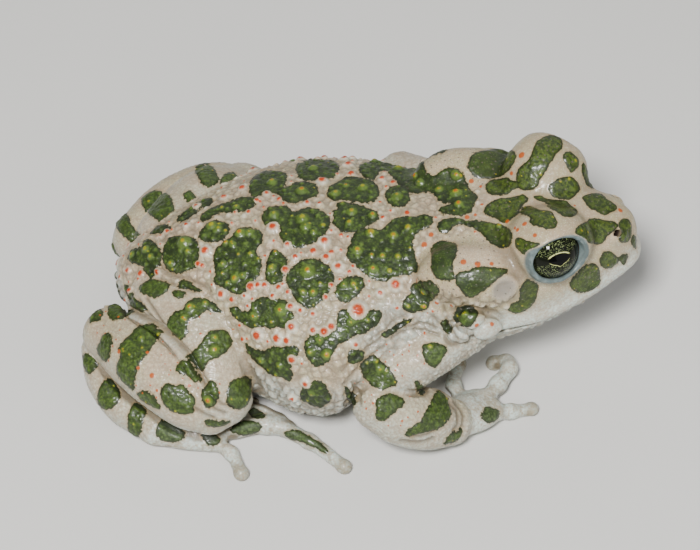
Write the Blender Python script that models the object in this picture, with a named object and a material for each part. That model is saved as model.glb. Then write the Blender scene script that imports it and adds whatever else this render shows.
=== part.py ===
"""European green toad, sitting alert: a still, life-size display model.

Every length is in millimetres until a mesh is made. +X runs to the snout, +Y to the toad's left
and +Z up. The origin lies in the middle of the flat under the belly.
"""

import math
import random
from collections import namedtuple

import bmesh
import bpy
import numpy as np
from mathutils import Vector

# Driving sizes
SNOUT_TO_VENT = 82.0
MM = 0.001 * SNOUT_TO_VENT / 82.0
GAP = 0.3
BELLY_X = -9.0

# The trunk and head: x along the toad, sideways shift of the section, half width at its widest
# level, that level's height, reach above and below it, and how square it is above and below
Section = namedtuple("Section", "x shift half level up down crown keel")
TRUNK = (
    Section(-36.7, 3.0, 0.4, 13.4, 0.4, 0.4, 2.0, 2.0),
    Section(-36.0, 2.9, 2.6, 13.4, 3.2, 3.6, 2.0, 2.0),
    Section(-34.3, 2.7, 5.0, 13.3, 5.8, 6.4, 2.0, 2.0),
    Section(-31.5, 2.4, 7.6, 13.2, 8.2, 9.0, 2.0, 2.0),
    Section(-28.0, 2.4, 10.0, 13.1, 10.4, 11.2, 2.0, 2.0),
    Section(-24.0, 2.6, 12.8, 13.2, 12.0, 12.7, 2.0, 2.0),
    Section(-20.0, 2.5, 15.6, 13.4, 12.9, 13.4, 2.0, 2.0),
    Section(-14.0, 2.2, 19.8, 13.8, 13.8, 14.3, 2.0, 2.1),
    Section(-8.0, 1.0, 22.3, 14.2, 14.3, 14.8, 2.0, 2.1),
    Section(-2.0, 0.6, 22.7, 14.8, 14.3, 15.0, 2.0, 2.0),
    Section(4.0, 1.2, 20.0, 17.0, 12.9, 14.6, 2.0, 1.85),
    Section(10.0, 0.9, 16.2, 19.6, 11.2, 14.2, 2.0, 1.7),
    Section(15.0, 0.0, 14.8, 20.8, 11.2, 12.6, 2.2, 1.8),
    Section(19.5, 0.0, 14.0, 20.8, 12.2, 10.0, 2.4, 2.0),
    Section(24.0, 0.0, 13.4, 20.6, 13.5, 7.6, 2.6, 2.0),
    Section(29.0, 0.0, 12.2, 20.9, 14.3, 6.2, 2.7, 2.0),
    Section(33.0, 0.0, 10.3, 21.3, 13.5, 5.4, 2.6, 2.0),
    Section(37.0, 0.0, 7.8, 21.9, 12.0, 4.7, 2.6, 2.0),
    Section(40.2, 0.0, 5.6, 22.6, 10.3, 4.0, 2.8, 2.0),
    Section(42.5, 0.0, 3.8, 23.2, 8.4, 3.0, 2.6, 2.0),
    Section(43.7, 0.0, 2.2, 24.0, 5.6, 2.1, 2.3, 2.0),
    Section(44.2, 0.0, 0.4, 26.0, 0.4, 0.4, 2.0, 2.0),
)
TRUNK_RINGS = 36
TRUNK_SIDES = 28

# The neck is parted on a slope that leaves the glands behind the eyes on the head
NECK_X = 18.5
NECK_Z = 12.0
NECK_SLOPE = -0.5
MOUTH = ((8.0, 19.6), (18.0, 19.9), (24.0, 20.5), (30.0, 20.9), (36.0, 21.8), (41.0, 22.9), (47.0, 24.0))
REACH = 80.0

# Lips: a bead above the mouth line and one below it, from one corner round the snout to the other
LIP_STOPS = (23.0, 26.0, 29.0, 32.0, 35.0, 38.0, 40.5, 42.3, 43.3)
LIP_FRONT = 43.6
LIP_RADIUS = 0.6
LIP_SINK = 0.15
LIP_RINGS = 34
LIP_SIDES = 6

# Eyes, the domes over them and the lids that hug them
EYE_RADIUS = 4.3
EYE = Vector((29.9, 8.7, 33.7))
EYE_TURN = math.radians(66.0)
EYE_LIFT = math.radians(18.0)
BROW = Vector((30.0, 7.2, 33.9))
BROW_RADII = (6.4, 5.4, 5.0)
LID_RADIUS = 5.1
OPENING_OUT = 4.4
OPENING_RADII = (3.2, 4.6, 3.75)

# Glands behind the eyes, ear discs and nostrils
PAROTOID = Vector((18.6, 9.9, 29.2))
PAROTOID_RADII = (8.4, 4.8, 4.6)
EAR = Vector((22.9, 13.2, 30.2))
EAR_RADII = (2.1, 0.9, 2.0)
NOSTRIL = Vector((40.4, 3.3, 31.4))
NOSTRIL_RADIUS = 0.6
BALL_SIDES = 16
BALL_RINGS = 9

# Warts: where along the toad, how far round from its left side over the back in degrees, radius
JAW_WARTS = (
    (18.4, 165, 1.9),
    (20.3, 174, 2.1),
    (16.5, 178, 1.8),
    (18.4, 15, 1.9),
    (20.3, 6, 2.1),
    (16.5, 2, 1.8),
)
BACK_WARTS = (
    (-6.5, 114, 2.4),
    (1.6, 132, 2.4),
    (-34.2, 124, 1.5),
    (-31.0, 104, 1.5),
    (-25.8, 102, 1.7),
    (-20.9, 94, 1.5),
    (-17.4, 112, 1.8),
    (-16.6, 126, 1.5),
    (-14.9, 98, 1.5),
    (-13.7, 148, 1.8),
    (-10.4, 145, 1.6),
    (-10.6, 131, 1.7),
    (-7.0, 130, 1.5),
    (-4.2, 138, 1.7),
    (-1.2, 146, 1.6),
    (-6.8, 90, 1.9),
    (-10.7, 80, 1.6),
    (-3.8, 101, 1.4),
    (-5.3, 54, 1.7),
    (-1.7, 113, 1.4),
    (0.4, 86, 1.6),
    (0.7, 67, 1.8),
    (4.0, 74, 1.5),
    (3.7, 112, 1.8),
    (5.6, 100, 1.8),
    (4.6, 127, 1.4),
    (7.4, 72, 1.8),
    (8.3, 117, 1.6),
    (10.3, 138, 1.8),
    (12.3, 72, 1.6),
    (3.6, 143, 1.6),
    (-8.3, 156, 1.5),
)
LOOSE_WARTS = 22
WART_SEED = 7
WART_SPACING = 4.4
WART_HEIGHT = 0.45
WART_SIDES = 7
WART_RINGS = 6
WART_CLEARANCE = 0.8
BACK_MIDDLE = 15.0

# Limbs: each stop is a place on the limb's middle line with its half width and half height
Stop = namedtuple("Stop", "x y z wide tall")
LIMBS = {
    "upper_arm_right": (
        Stop(17.0, -11.0, 18.0, 4.4, 4.8),
        Stop(10.9, -15.8, 16.8, 4.0, 4.1),
        Stop(5.2, -17.5, 13.2, 4.3, 4.3),
    ),
    "forearm_right": (
        Stop(4.6, -20.6, 11.6, 4.4, 4.4),
        Stop(8.4, -21.1, 9.0, 4.8, 4.8),
        Stop(12.4, -19.8, 6.2, 4.8, 4.8),
        Stop(15.4, -19.0, 4.5, 3.7, 3.7),
    ),
    "upper_arm_left": (
        Stop(17.0, 11.5, 18.5, 4.4, 4.8),
        Stop(12.8, 18.4, 16.8, 4.4, 4.5),
        Stop(8.4, 23.4, 14.0, 4.3, 4.3),
    ),
    "forearm_left": (
        Stop(8.4, 23.6, 12.8, 4.3, 4.3),
        Stop(11.6, 23.0, 9.2, 4.5, 4.5),
        Stop(15.0, 21.0, 5.8, 4.0, 4.0),
        Stop(17.6, 19.2, 4.0, 3.3, 3.3),
    ),
    "thigh_right": (
        Stop(-27.8, -4.2, 14.0, 7.0, 7.0),
        Stop(-22.5, -9.7, 14.2, 7.0, 7.0),
        Stop(-20.5, -17.9, 10.6, 5.7, 5.7),
    ),
    "shank_right": (
        Stop(-21.7, -19.4, 8.6, 4.2, 4.2),
        Stop(-25.2, -18.6, 10.6, 4.9, 4.9),
        Stop(-31.5, -12.8, 11.5, 5.4, 5.4),
        Stop(-37.6, -5.8, 9.8, 4.3, 4.3),
    ),
    "thigh_left": (
        Stop(-27.2, 9.4, 14.0, 7.0, 7.0),
        Stop(-22.4, 15.4, 13.6, 7.8, 7.8),
        Stop(-17.8, 20.6, 11.4, 6.3, 6.3),
    ),
    "shank_left": (
        Stop(-17.2, 22.4, 10.4, 5.1, 5.1),
        Stop(-23.0, 22.4, 10.4, 5.6, 5.6),
        Stop(-29.2, 19.4, 9.8, 5.3, 5.3),
        Stop(-34.0, 14.8, 8.9, 4.3, 4.3),
    ),
    "tarsus_right": (
        Stop(-39.6, -6.0, 6.4, 2.7, 2.8),
        Stop(-38.6, -10.8, 4.8, 2.8, 2.8),
        Stop(-35.4, -15.2, 3.6, 2.9, 2.9),
        Stop(-30.7, -18.0, 2.8, 2.9, 2.7),
    ),
    "tarsus_left": (
        Stop(-36.0, 16.2, 6.4, 2.7, 2.8),
        Stop(-34.6, 20.6, 4.8, 2.8, 2.8),
        Stop(-31.2, 24.4, 3.6, 2.9, 2.9),
        Stop(-26.6, 26.6, 2.8, 2.9, 2.7),
    ),
}

# Hands and feet: the first piece of each is the palm or sole, and the digits grow from it
FEET = {
    "hand_right": (
        (
            Stop(16.6, -17.9, 3.7, 3.0, 2.9),
            Stop(19.2, -15.8, 2.9, 3.7, 2.4),
            Stop(21.2, -13.9, 2.2, 3.6, 1.9),
        ),
        (
            Stop(18.6, -16.0, 1.9, 1.3, 1.3),
            Stop(15.4, -13.6, 1.3, 1.1, 1.1),
            Stop(13.4, -12.2, 0.75, 0.9, 0.9),
        ),
        (
            Stop(19.0, -14.8, 2.0, 1.5, 1.5),
            Stop(16.4, -9.6, 1.6, 1.2, 1.2),
            Stop(17.4, -4.6, 0.8, 1.0, 1.0),
        ),
        (
            Stop(20.8, -13.8, 2.0, 1.6, 1.6),
            Stop(23.4, -9.8, 2.2, 1.3, 1.3),
            Stop(25.3, -6.6, 2.1, 1.2, 1.2),
            Stop(24.9, -4.7, 1.5, 1.1, 1.1),
            Stop(22.9, -4.5, 0.85, 1.05, 1.05),
        ),
        (
            Stop(20.8, -14.8, 1.9, 1.6, 1.6),
            Stop(25.2, -14.5, 1.3, 1.15, 1.15),
            Stop(28.6, -13.6, 0.75, 0.95, 0.95),
        ),
    ),
    "hand_left": (
        (Stop(17.8, 18.8, 3.7, 2.9, 2.9), Stop(20.0, 16.4, 2.8, 3.1, 2.4), Stop(21.8, 14.2, 2.2, 3.2, 1.9)),
        (
            Stop(19.4, 15.6, 1.9, 1.3, 1.3),
            Stop(16.8, 12.2, 1.3, 1.1, 1.1),
            Stop(15.4, 10.4, 0.75, 0.9, 0.9),
        ),
        (Stop(20.2, 14.8, 2.0, 1.5, 1.5), Stop(19.2, 9.6, 1.4, 1.2, 1.2), Stop(18.8, 5.4, 0.8, 1.0, 1.0)),
        (Stop(21.4, 14.0, 2.0, 1.6, 1.6), Stop(23.8, 9.2, 1.5, 1.2, 1.2), Stop(25.4, 4.8, 0.8, 1.0, 1.0)),
        (
            Stop(21.4, 15.0, 1.9, 1.6, 1.6),
            Stop(25.4, 13.6, 1.3, 1.15, 1.15),
            Stop(28.6, 11.8, 0.75, 0.95, 0.95),
        ),
    ),
    "foot_right": (
        (
            Stop(-29.6, -18.5, 2.7, 2.8, 2.6),
            Stop(-26.0, -19.3, 2.3, 2.9, 2.2),
            Stop(-22.0, -19.6, 1.8, 2.8, 1.8),
        ),
        (
            Stop(-23.8, -18.6, 1.6, 1.1, 1.1),
            Stop(-20.6, -15.4, 1.2, 0.95, 0.95),
            Stop(-19.4, -13.4, 0.75, 0.85, 0.85),
        ),
        (
            Stop(-22.6, -18.4, 1.7, 1.2, 1.2),
            Stop(-18.6, -14.2, 1.3, 1.0, 1.0),
            Stop(-15.4, -12.4, 0.75, 0.9, 0.9),
        ),
        (
            Stop(-21.4, -18.6, 1.9, 1.3, 1.3),
            Stop(-15.2, -14.9, 2.4, 1.15, 1.15),
            Stop(-11.4, -16.2, 1.6, 1.1, 1.1),
            Stop(-9.6, -17.4, 0.8, 1.0, 1.0),
        ),
        (
            Stop(-21.2, -19.4, 1.8, 1.6, 1.5),
            Stop(-13.0, -17.6, 1.9, 1.35, 1.35),
            Stop(-6.4, -20.4, 1.4, 1.15, 1.15),
            Stop(-0.9, -24.9, 0.8, 1.0, 1.0),
        ),
        (
            Stop(-21.8, -20.2, 1.7, 1.4, 1.4),
            Stop(-18.6, -22.6, 1.4, 1.05, 1.05),
            Stop(-16.8, -26.2, 0.8, 1.0, 1.0),
        ),
    ),
    "foot_left": (
        (
            Stop(-25.6, 26.9, 2.7, 2.8, 2.6),
            Stop(-22.0, 27.4, 2.3, 2.9, 2.2),
            Stop(-18.0, 27.2, 1.8, 2.8, 1.8),
        ),
        (
            Stop(-19.6, 26.2, 1.6, 1.1, 1.1),
            Stop(-17.0, 23.4, 1.2, 0.95, 0.95),
            Stop(-16.2, 21.4, 0.75, 0.85, 0.85),
        ),
        (
            Stop(-18.6, 26.0, 1.7, 1.2, 1.2),
            Stop(-14.6, 22.8, 1.3, 1.0, 1.0),
            Stop(-11.6, 21.4, 0.75, 0.9, 0.9),
        ),
        (
            Stop(-17.6, 26.4, 1.8, 1.3, 1.3),
            Stop(-11.6, 24.8, 1.4, 1.15, 1.15),
            Stop(-6.2, 25.2, 0.8, 1.0, 1.0),
        ),
        (
            Stop(-17.2, 27.0, 1.8, 1.6, 1.5),
            Stop(-10.0, 27.2, 1.6, 1.35, 1.35),
            Stop(-3.6, 28.6, 1.3, 1.15, 1.15),
            Stop(1.8, 31.0, 0.8, 1.0, 1.0),
        ),
        (
            Stop(-17.8, 28.0, 1.7, 1.4, 1.4),
            Stop(-13.6, 30.6, 1.3, 1.05, 1.05),
            Stop(-10.4, 33.4, 0.8, 0.95, 0.95),
        ),
    ),
}
# What each limb is trimmed against, besides the trunk
JOINS = {
    "forearm": ("upper_arm",),
    "hand": ("forearm", "upper_arm"),
    "shank": ("thigh",),
    "tarsus": ("shank", "thigh"),
    "foot": ("tarsus", "shank", "thigh"),
}
LIMB_SIDES = 16
LIMB_RINGS = 8
DIGIT_SIDES = 7
DIGIT_RINGS = 5
END_STEPS = 2
WELD = 0.002

# Colours and roughness of the skin, by part
PALE = (0.47, 0.40, 0.32)
GREEN = (0.10, 0.17, 0.05)
IRIS = (0.05, 0.06, 0.02)
SKIN_ROUGHNESS = 0.5
EYE_ROUGHNESS = 0.08
SHARP_ANGLE = math.radians(50.0)
GREEN_SHARE = {
    "head": 0.4,
    "torso": 0.5,
    "thigh": 0.4,
    "shank": 0.35,
    "upper_arm": 0.3,
    "forearm": 0.3,
    "tarsus": 0.4,
}
OTHER_GREEN_SHARE = 0.1


def clear_scene():
    """Removes whatever the file opened with."""
    for obj in list(bpy.data.objects):
        bpy.data.objects.remove(obj)


def through(rows, at):
    """Values on one smooth curve through the rows, where 0 is the first row and 1 the next."""
    rows = np.asarray(rows, float)
    slope = np.gradient(rows, axis=0)
    start = np.clip(np.floor(at).astype(int), 0, len(rows) - 2)
    t = (np.asarray(at, float) - start)[:, None]
    value = (2 * t**3 - 3 * t**2 + 1) * rows[start] + (3 * t**2 - 2 * t**3) * rows[start + 1]
    lean = (t**3 - 2 * t**2 + t) * slope[start] + (t**3 - t**2) * slope[start + 1]
    return value + lean


def mesh_object(name, points, faces):
    """An object of these points with its faces pointing out."""
    origin = Vector((BELLY_X, 0, 0))
    mesh = bpy.data.meshes.new(name)
    mesh.from_pydata([(Vector(p) - origin) * MM for p in points], [], faces)
    shape = bmesh.new()
    shape.from_mesh(mesh)
    bmesh.ops.recalc_face_normals(shape, faces=shape.faces)
    shape.to_mesh(mesh)
    shape.free()
    obj = bpy.data.objects.new(name, mesh)
    bpy.context.scene.collection.objects.link(obj)
    return obj


def loft(name, rings):
    """A closed skin over rings of equal count, with a fan of triangles over each end."""
    count = len(rings[0])
    points = [Vector(p) for ring in rings for p in ring]
    faces = []
    for r in range(len(rings) - 1):
        for i in range(count):
            j = (i + 1) % count
            faces.append((r * count + i, r * count + j, (r + 1) * count + j, (r + 1) * count + i))
    for base in (0, (len(rings) - 1) * count):
        points.append(sum(points[base : base + count], Vector()) / count)
        faces += [(base + i, base + (i + 1) % count, len(points) - 1) for i in range(count)]
    return mesh_object(name, points, faces)


def on_section(section, turn):
    """The point of a trunk section at this turn: 0 is the toad's left, a quarter turn is the top."""
    x, shift, half, level, up, down, crown, keel = section
    c, s = math.cos(turn), math.sin(turn)
    power = 2 / (crown if s >= 0 else keel)
    reach = up if s >= 0 else down
    y = shift + half * math.copysign(abs(c) ** power, c)
    return Vector((x, y, level + reach * math.copysign(abs(s) ** power, s)))


def make_trunk():
    """The trunk and head as one loft from rump to snout."""
    turns = [2 * math.pi * i / TRUNK_SIDES for i in range(TRUNK_SIDES)]
    sections = through(TRUNK, np.linspace(0, len(TRUNK) - 1, TRUNK_RINGS))
    return loft("trunk", [[on_section(section, turn) for turn in turns] for section in sections])


def tube(name, stops, sides, rings):
    """A limb of oval section through its stops, with rounded ends."""
    rows = through(stops, np.linspace(0, len(stops) - 1, rings))
    path = [Vector(row[:3]) for row in rows]
    stations = []
    for i, (middle, row) in enumerate(zip(path, rows)):
        along = (path[min(i + 1, rings - 1)] - path[max(i - 1, 0)]).normalized()
        stations.append((middle, along, row[3], row[4]))
    ends = []
    for (middle, along, wide, tall), sign in ((stations[0], -1), (stations[-1], 1)):
        reach = sign * min(wide, tall)
        rounded = []
        for step in range(1, END_STEPS + 1):
            lean = math.pi / 2 * step / (END_STEPS + 0.5)
            place = middle + along * reach * math.sin(lean)
            rounded.append((place, along, wide * math.cos(lean), tall * math.cos(lean)))
        ends.append(rounded)
    made = []
    for middle, along, wide, tall in ends[0][::-1] + stations + ends[1]:
        side = along.cross(Vector((0, 0, 1))).normalized()
        up = side.cross(along)
        turns = [2 * math.pi * i / sides for i in range(sides)]
        made.append([middle + side * wide * math.cos(t) + up * tall * math.sin(t) for t in turns])
    return loft(name, made)


def ball(name, centre, radii, sides, rings, facing=Vector((1, 0, 0))):
    """An ellipsoid whose first radius lies along its facing."""
    across = facing.cross(Vector((0, 0, 1)))
    side = across.normalized() if across.length > 0.01 else Vector((0, 1, 0))
    up = side.cross(facing)
    made = []
    for r in range(1, rings):
        lean = math.pi * r / rings
        turns = [2 * math.pi * i / sides for i in range(sides)]
        middle = centre - facing * radii[0] * math.cos(lean)
        wide, tall = radii[1] * math.sin(lean), radii[2] * math.sin(lean)
        made.append([middle + side * wide * math.cos(t) + up * tall * math.sin(t) for t in turns])
    return loft(name, made)


def prism(name, outline):
    """A wide slab across the toad whose side view is this outline of (x, z) corners."""
    return loft(name, [[(x, y, z) for x, z in outline] for y in (-REACH, REACH)])


def copy_of(obj, name):
    """A second object with its own mesh."""
    twin = obj.copy()
    twin.data = obj.data.copy()
    twin.name = name
    bpy.context.scene.collection.objects.link(twin)
    return twin


def grown(obj):
    """A copy whose surface stands out by the gap that neighbours keep."""
    twin = copy_of(obj, f"{obj.name}.grown")
    shape = bmesh.new()
    shape.from_mesh(twin.data)
    shape.normal_update()
    for vertex in shape.verts:
        vertex.co += vertex.normal * GAP * MM
    shape.to_mesh(twin.data)
    shape.free()
    return twin


def combine(obj, others, operation):
    """Joins or cuts an object with a collection of others, and keeps its largest closed surface."""
    group = bpy.data.collections.new("others")
    for other in others:
        group.objects.link(other)
    boolean = obj.modifiers.new("combine", "BOOLEAN")
    boolean.operation = operation
    boolean.operand_type = "COLLECTION"
    boolean.collection = group
    boolean.solver = "EXACT"
    graph = bpy.context.evaluated_depsgraph_get()
    obj.data = bpy.data.meshes.new_from_object(obj.evaluated_get(graph))
    obj.modifiers.clear()
    bpy.data.collections.remove(group)
    for other in others:
        bpy.data.objects.remove(other)
    keep_largest(obj)


def keep_largest(obj):
    """Drops every surface of an object but its largest."""
    shape = bmesh.new()
    shape.from_mesh(obj.data)
    bmesh.ops.remove_doubles(shape, verts=shape.verts, dist=WELD * MM)
    bmesh.ops.dissolve_degenerate(shape, edges=shape.edges, dist=WELD * MM)
    bmesh.ops.triangulate(shape, faces=shape.faces)
    left = set(shape.faces)
    groups = []
    while left:
        found = [left.pop()]
        for face in found:
            near = {n for edge in face.edges for n in edge.link_faces if n in left}
            left -= near
            found.extend(near)
        groups.append(found)
    groups.sort(key=lambda faces: sum(face.calc_area() for face in faces))
    for faces in groups[:-1]:
        bmesh.ops.delete(shape, geom=faces, context="FACES")
    shape.to_mesh(obj.data)
    shape.free()


def flip(v, side):
    """The same place on the left (1) or the right (-1)."""
    return Vector((v[0], v[1] * side, v[2]))


def warts_at(places):
    """Low domes on the trunk at these places, each sunk so that only its top shows."""
    made = []
    for x, turn, radius in places:
        here = on_section(section_at(x), math.radians(turn))
        outward = (here - Vector((here.x, 0, BACK_MIDDLE))).normalized()
        centre = here - outward * radius * (1 - WART_HEIGHT)
        made.append(ball("wart", centre, (radius, radius, radius), WART_SIDES, WART_RINGS, outward))
    return made


def loose_warts(placed, keep_clear):
    """Places for more warts where the back still has room, clear of limbs, eyes and ears."""
    draw = random.Random(WART_SEED)
    spots = [on_section(section_at(x), math.radians(turn)) for x, turn, radius in placed]
    found = []
    while len(found) < LOOSE_WARTS:
        x, turn, radius = draw.uniform(-33, 22), draw.uniform(15, 160), draw.uniform(1.3, 1.8)
        here = on_section(section_at(x), math.radians(turn))
        crowded = any((here - spot).length < WART_SPACING for spot in spots)
        room = radius + WART_CLEARANCE
        if crowded or any((here - spot).length < reach + room for spot, reach in keep_clear):
            continue
        spots.append(here)
        found.append((x, turn, radius))
    return found


def section_at(x):
    """The trunk's section at this x."""
    row = np.interp(x, [section.x for section in TRUNK], range(len(TRUNK)))
    return through(TRUNK, np.array([row]))[0]


def limb_spots():
    """Balls that fill the limbs, for what has to stay clear of them."""
    spots = []
    for stops in LIMBS.values():
        for row in through(stops, np.linspace(0, len(stops) - 1, LIMB_RINGS)):
            spots.append((Vector(row[:3]), row[3]))
    return spots


def width_at(section, height):
    """Half the width of a trunk section at this height."""
    above = height > section[3]
    reach, square = (section[4], section[6]) if above else (section[5], section[7])
    share = min(abs(height - section[3]) / reach, 1.0)
    return section[2] * (1 - share**square) ** (1 / square)


def make_lip(side):
    """A bead of skin along the upper (1) or lower (-1) edge of the mouth."""
    left = []
    for x in LIP_STOPS:
        height = np.interp(x, *zip(*MOUTH)) + side * LIP_RADIUS
        left.append((x, width_at(section_at(x), height) - LIP_SINK, height))
    front = np.interp(LIP_FRONT, *zip(*MOUTH)) + side * LIP_RADIUS
    path = left + [(LIP_FRONT, 0.0, front)] + [(x, -y, z) for x, y, z in left[::-1]]
    stops = [Stop(*place, LIP_RADIUS, LIP_RADIUS) for place in path]
    return tube("lip", stops, LIP_SIDES, LIP_RINGS)


def make_body():
    """The trunk and head with brows, lids, lips, glands, ear discs and warts, and what is cut into them."""
    body = make_trunk()
    adds = [make_lip(1), make_lip(-1)]
    cuts = []
    clear = limb_spots()
    for side in (1, -1):
        facing = eye_facing(side)
        eye = flip(EYE, side)
        adds.append(ball("brow", flip(BROW, side), BROW_RADII, BALL_SIDES, BALL_RINGS))
        adds.append(ball("lid", eye, (LID_RADIUS,) * 3, BALL_SIDES, BALL_RINGS, facing))
        adds.append(ball("parotoid", flip(PAROTOID, side), PAROTOID_RADII, BALL_SIDES, BALL_RINGS))
        adds.append(ball("ear", flip(EAR, side), EAR_RADII, BALL_SIDES, BALL_RINGS))
        clear += [(eye, LID_RADIUS + 1), (flip(EAR, side), 2.5), (flip(NOSTRIL, side), 1.5)]
        socket_radii = (EYE_RADIUS + GAP,) * 3
        cuts.append(ball("socket", eye, socket_radii, BALL_SIDES, BALL_RINGS, facing))
        opening = eye + facing * OPENING_OUT
        cuts.append(ball("opening", opening, OPENING_RADII, BALL_SIDES, BALL_RINGS, facing))
        cuts.append(ball("nostril", flip(NOSTRIL, side), (NOSTRIL_RADIUS,) * 3, 8, 6))
    placed = JAW_WARTS + BACK_WARTS
    adds += warts_at(placed) + warts_at(loose_warts(placed, clear))
    combine(body, adds, "UNION")
    combine(body, cuts, "DIFFERENCE")
    return body


def eye_facing(side):
    """Which way an eye looks."""
    flat = math.cos(EYE_LIFT)
    return Vector((math.cos(EYE_TURN) * flat, side * math.sin(EYE_TURN) * flat, math.sin(EYE_LIFT)))


def make_eye(name, side):
    """An eyeball, turned so that its rings run round the pupil."""
    return ball(name, flip(EYE, side), (EYE_RADIUS,) * 3, BALL_SIDES, BALL_RINGS, eye_facing(side))


def part_trunk(body):
    """Parts the body into torso, head and lower jaw with thin cuts."""
    half = GAP / 2
    low, high = -REACH, REACH
    slope = [(NECK_X + NECK_SLOPE * (z - NECK_Z), z) for z in (low, high)]
    front = [(slope[0][0] - half, low), (3 * high, low), (3 * high, high), (slope[1][0] - half, high)]
    back = [(slope[0][0] + half, low), (-3 * high, low), (-3 * high, high), (slope[1][0] + half, high)]
    mouth_start, mouth_end = MOUTH[0][1], MOUTH[-1][0]
    under = [(x, z + half) for x, z in MOUTH] + [(mouth_end, low), (low, low), (low, mouth_start + half)]
    above = [(x, z - half) for x, z in MOUTH] + [(mouth_end, high), (low, high), (low, mouth_start - half)]
    head = copy_of(body, "head")
    jaw = copy_of(body, "lower_jaw")
    body.name = "torso"
    combine(body, [prism("front", front), floor_block()], "DIFFERENCE")
    combine(head, [prism("back", back), prism("under", under)], "DIFFERENCE")
    combine(jaw, [prism("back", back), prism("above", above)], "DIFFERENCE")


def floor_block():
    """Everything under the floor."""
    return prism("floor", [(-REACH, -REACH), (REACH, -REACH), (REACH, 0.0), (-REACH, 0.0)])


def make_limbs():
    """Arms, legs, hands and feet, each trimmed to meet what it grows from."""
    plain = {name: tube(f"{name}.plain", stops, LIMB_SIDES, LIMB_RINGS) for name, stops in LIMBS.items()}
    trunk = make_trunk()
    pieces = {name: copy_of(obj, name) for name, obj in plain.items()}
    for name, digits in FEET.items():
        pieces[name] = tube(name, digits[0], LIMB_SIDES - 4, DIGIT_RINGS)
        made = [tube(f"{name}.digit", stops, DIGIT_SIDES, DIGIT_RINGS) for stops in digits[1:]]
        combine(pieces[name], made, "UNION")
    for name, obj in pieces.items():
        kind, side = name.rsplit("_", 1)
        cutters = [grown(trunk), floor_block()]
        cutters += [grown(plain[f"{other}_{side}"]) for other in JOINS.get(kind, ())]
        if kind == "upper_arm":
            jaw_warts = warts_at(JAW_WARTS)
            cutters += [grown(one) for one in jaw_warts]
            for one in jaw_warts:
                bpy.data.objects.remove(one)
        combine(obj, cutters, "DIFFERENCE")
    for obj in [trunk, *plain.values()]:
        bpy.data.objects.remove(obj)


def paint():
    """Gives each part its own material and shades it smooth."""
    for obj in bpy.data.objects:
        kind = obj.name.rsplit("_", 1)[0]
        is_eye = kind == "eye"
        share = GREEN_SHARE.get(kind, GREEN_SHARE.get(obj.name, OTHER_GREEN_SHARE))
        colour = IRIS if is_eye else [p + (g - p) * share for p, g in zip(PALE, GREEN)]
        material = bpy.data.materials.new(obj.name)
        material.use_nodes = True
        shader = material.node_tree.nodes["Principled BSDF"]
        shader.inputs["Base Color"].default_value = (*colour, 1)
        shader.inputs["Roughness"].default_value = EYE_ROUGHNESS if is_eye else SKIN_ROUGHNESS
        shader.inputs["Metallic"].default_value = 0.0
        obj.data.materials.clear()
        obj.data.materials.append(material)
        obj.data.shade_smooth()
        obj.data.set_sharp_from_angle(angle=SHARP_ANGLE)


def main():
    clear_scene()
    part_trunk(make_body())
    for side, name in ((1, "left"), (-1, "right")):
        make_eye(f"eye_{name}", side)
    make_limbs()
    paint()


main()
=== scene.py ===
# %% [markdown]
# # A european green toad as a museum model
#
# The solids around which this script works are plain: a torso, a head, a jaw and the pieces of
# each leg. On the real animal one skin covers them all, so this lesson grows one skin over the
# same sizes, raises its warts and folds, paints its green blotches and sets two wet eyes in it.

# %% Load the solids
import math
import random
from collections import namedtuple

import bpy
import numpy as np
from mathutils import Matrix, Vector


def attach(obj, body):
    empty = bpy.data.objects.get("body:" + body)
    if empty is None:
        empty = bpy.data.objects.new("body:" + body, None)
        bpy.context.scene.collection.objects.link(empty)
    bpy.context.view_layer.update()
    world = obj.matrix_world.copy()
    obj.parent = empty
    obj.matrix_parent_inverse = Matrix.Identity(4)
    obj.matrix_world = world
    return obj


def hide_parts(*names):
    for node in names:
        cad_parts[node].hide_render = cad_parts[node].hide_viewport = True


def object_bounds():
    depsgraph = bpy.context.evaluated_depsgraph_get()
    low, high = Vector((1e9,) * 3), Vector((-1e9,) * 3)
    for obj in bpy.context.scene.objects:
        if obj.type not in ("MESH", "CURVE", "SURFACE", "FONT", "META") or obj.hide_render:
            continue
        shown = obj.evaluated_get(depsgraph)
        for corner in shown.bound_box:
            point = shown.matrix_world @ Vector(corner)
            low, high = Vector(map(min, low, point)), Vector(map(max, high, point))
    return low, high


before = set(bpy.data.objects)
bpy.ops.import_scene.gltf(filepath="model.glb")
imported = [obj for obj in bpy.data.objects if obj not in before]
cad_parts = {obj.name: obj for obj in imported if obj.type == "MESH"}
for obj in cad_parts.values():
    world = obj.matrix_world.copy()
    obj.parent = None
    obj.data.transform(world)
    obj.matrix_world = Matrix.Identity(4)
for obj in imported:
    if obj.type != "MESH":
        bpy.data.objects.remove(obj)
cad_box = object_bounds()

import openvdb
from mathutils import Vector, kdtree

MM = 0.001
print("solids:", len(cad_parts))
print("box in mm:", [[round(c / MM, 1) for c in corner] for corner in cad_box])

# %% [markdown]
# ## Where the photograph was taken from
#
# The toad was photographed from its right side and from well above, with a long lens. The camera
# comes first, because the markings are placed by looking through it: a spot that is named by its
# place in the photograph is carried along the camera's line of sight onto the skin.

# %% Camera
BELLY_X = -9.0
PHOTO_SIZE = (700, 550)
PIXELS_PER_MM = 6.35
CAMERA_DISTANCE = 450.0
CAMERA_LIFT = math.radians(50.0)
SENSOR_WIDTH = 36.0
AIM = Vector((-BELLY_X, 2.5, 14.4))

back_to_camera = Vector((0.0, -math.cos(CAMERA_LIFT), math.sin(CAMERA_LIFT)))
camera_right = Vector((1.0, 0.0, 0.0))
camera_up = back_to_camera.cross(camera_right)
camera_place = AIM + back_to_camera * CAMERA_DISTANCE
focal_pixels = PIXELS_PER_MM * CAMERA_DISTANCE

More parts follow.
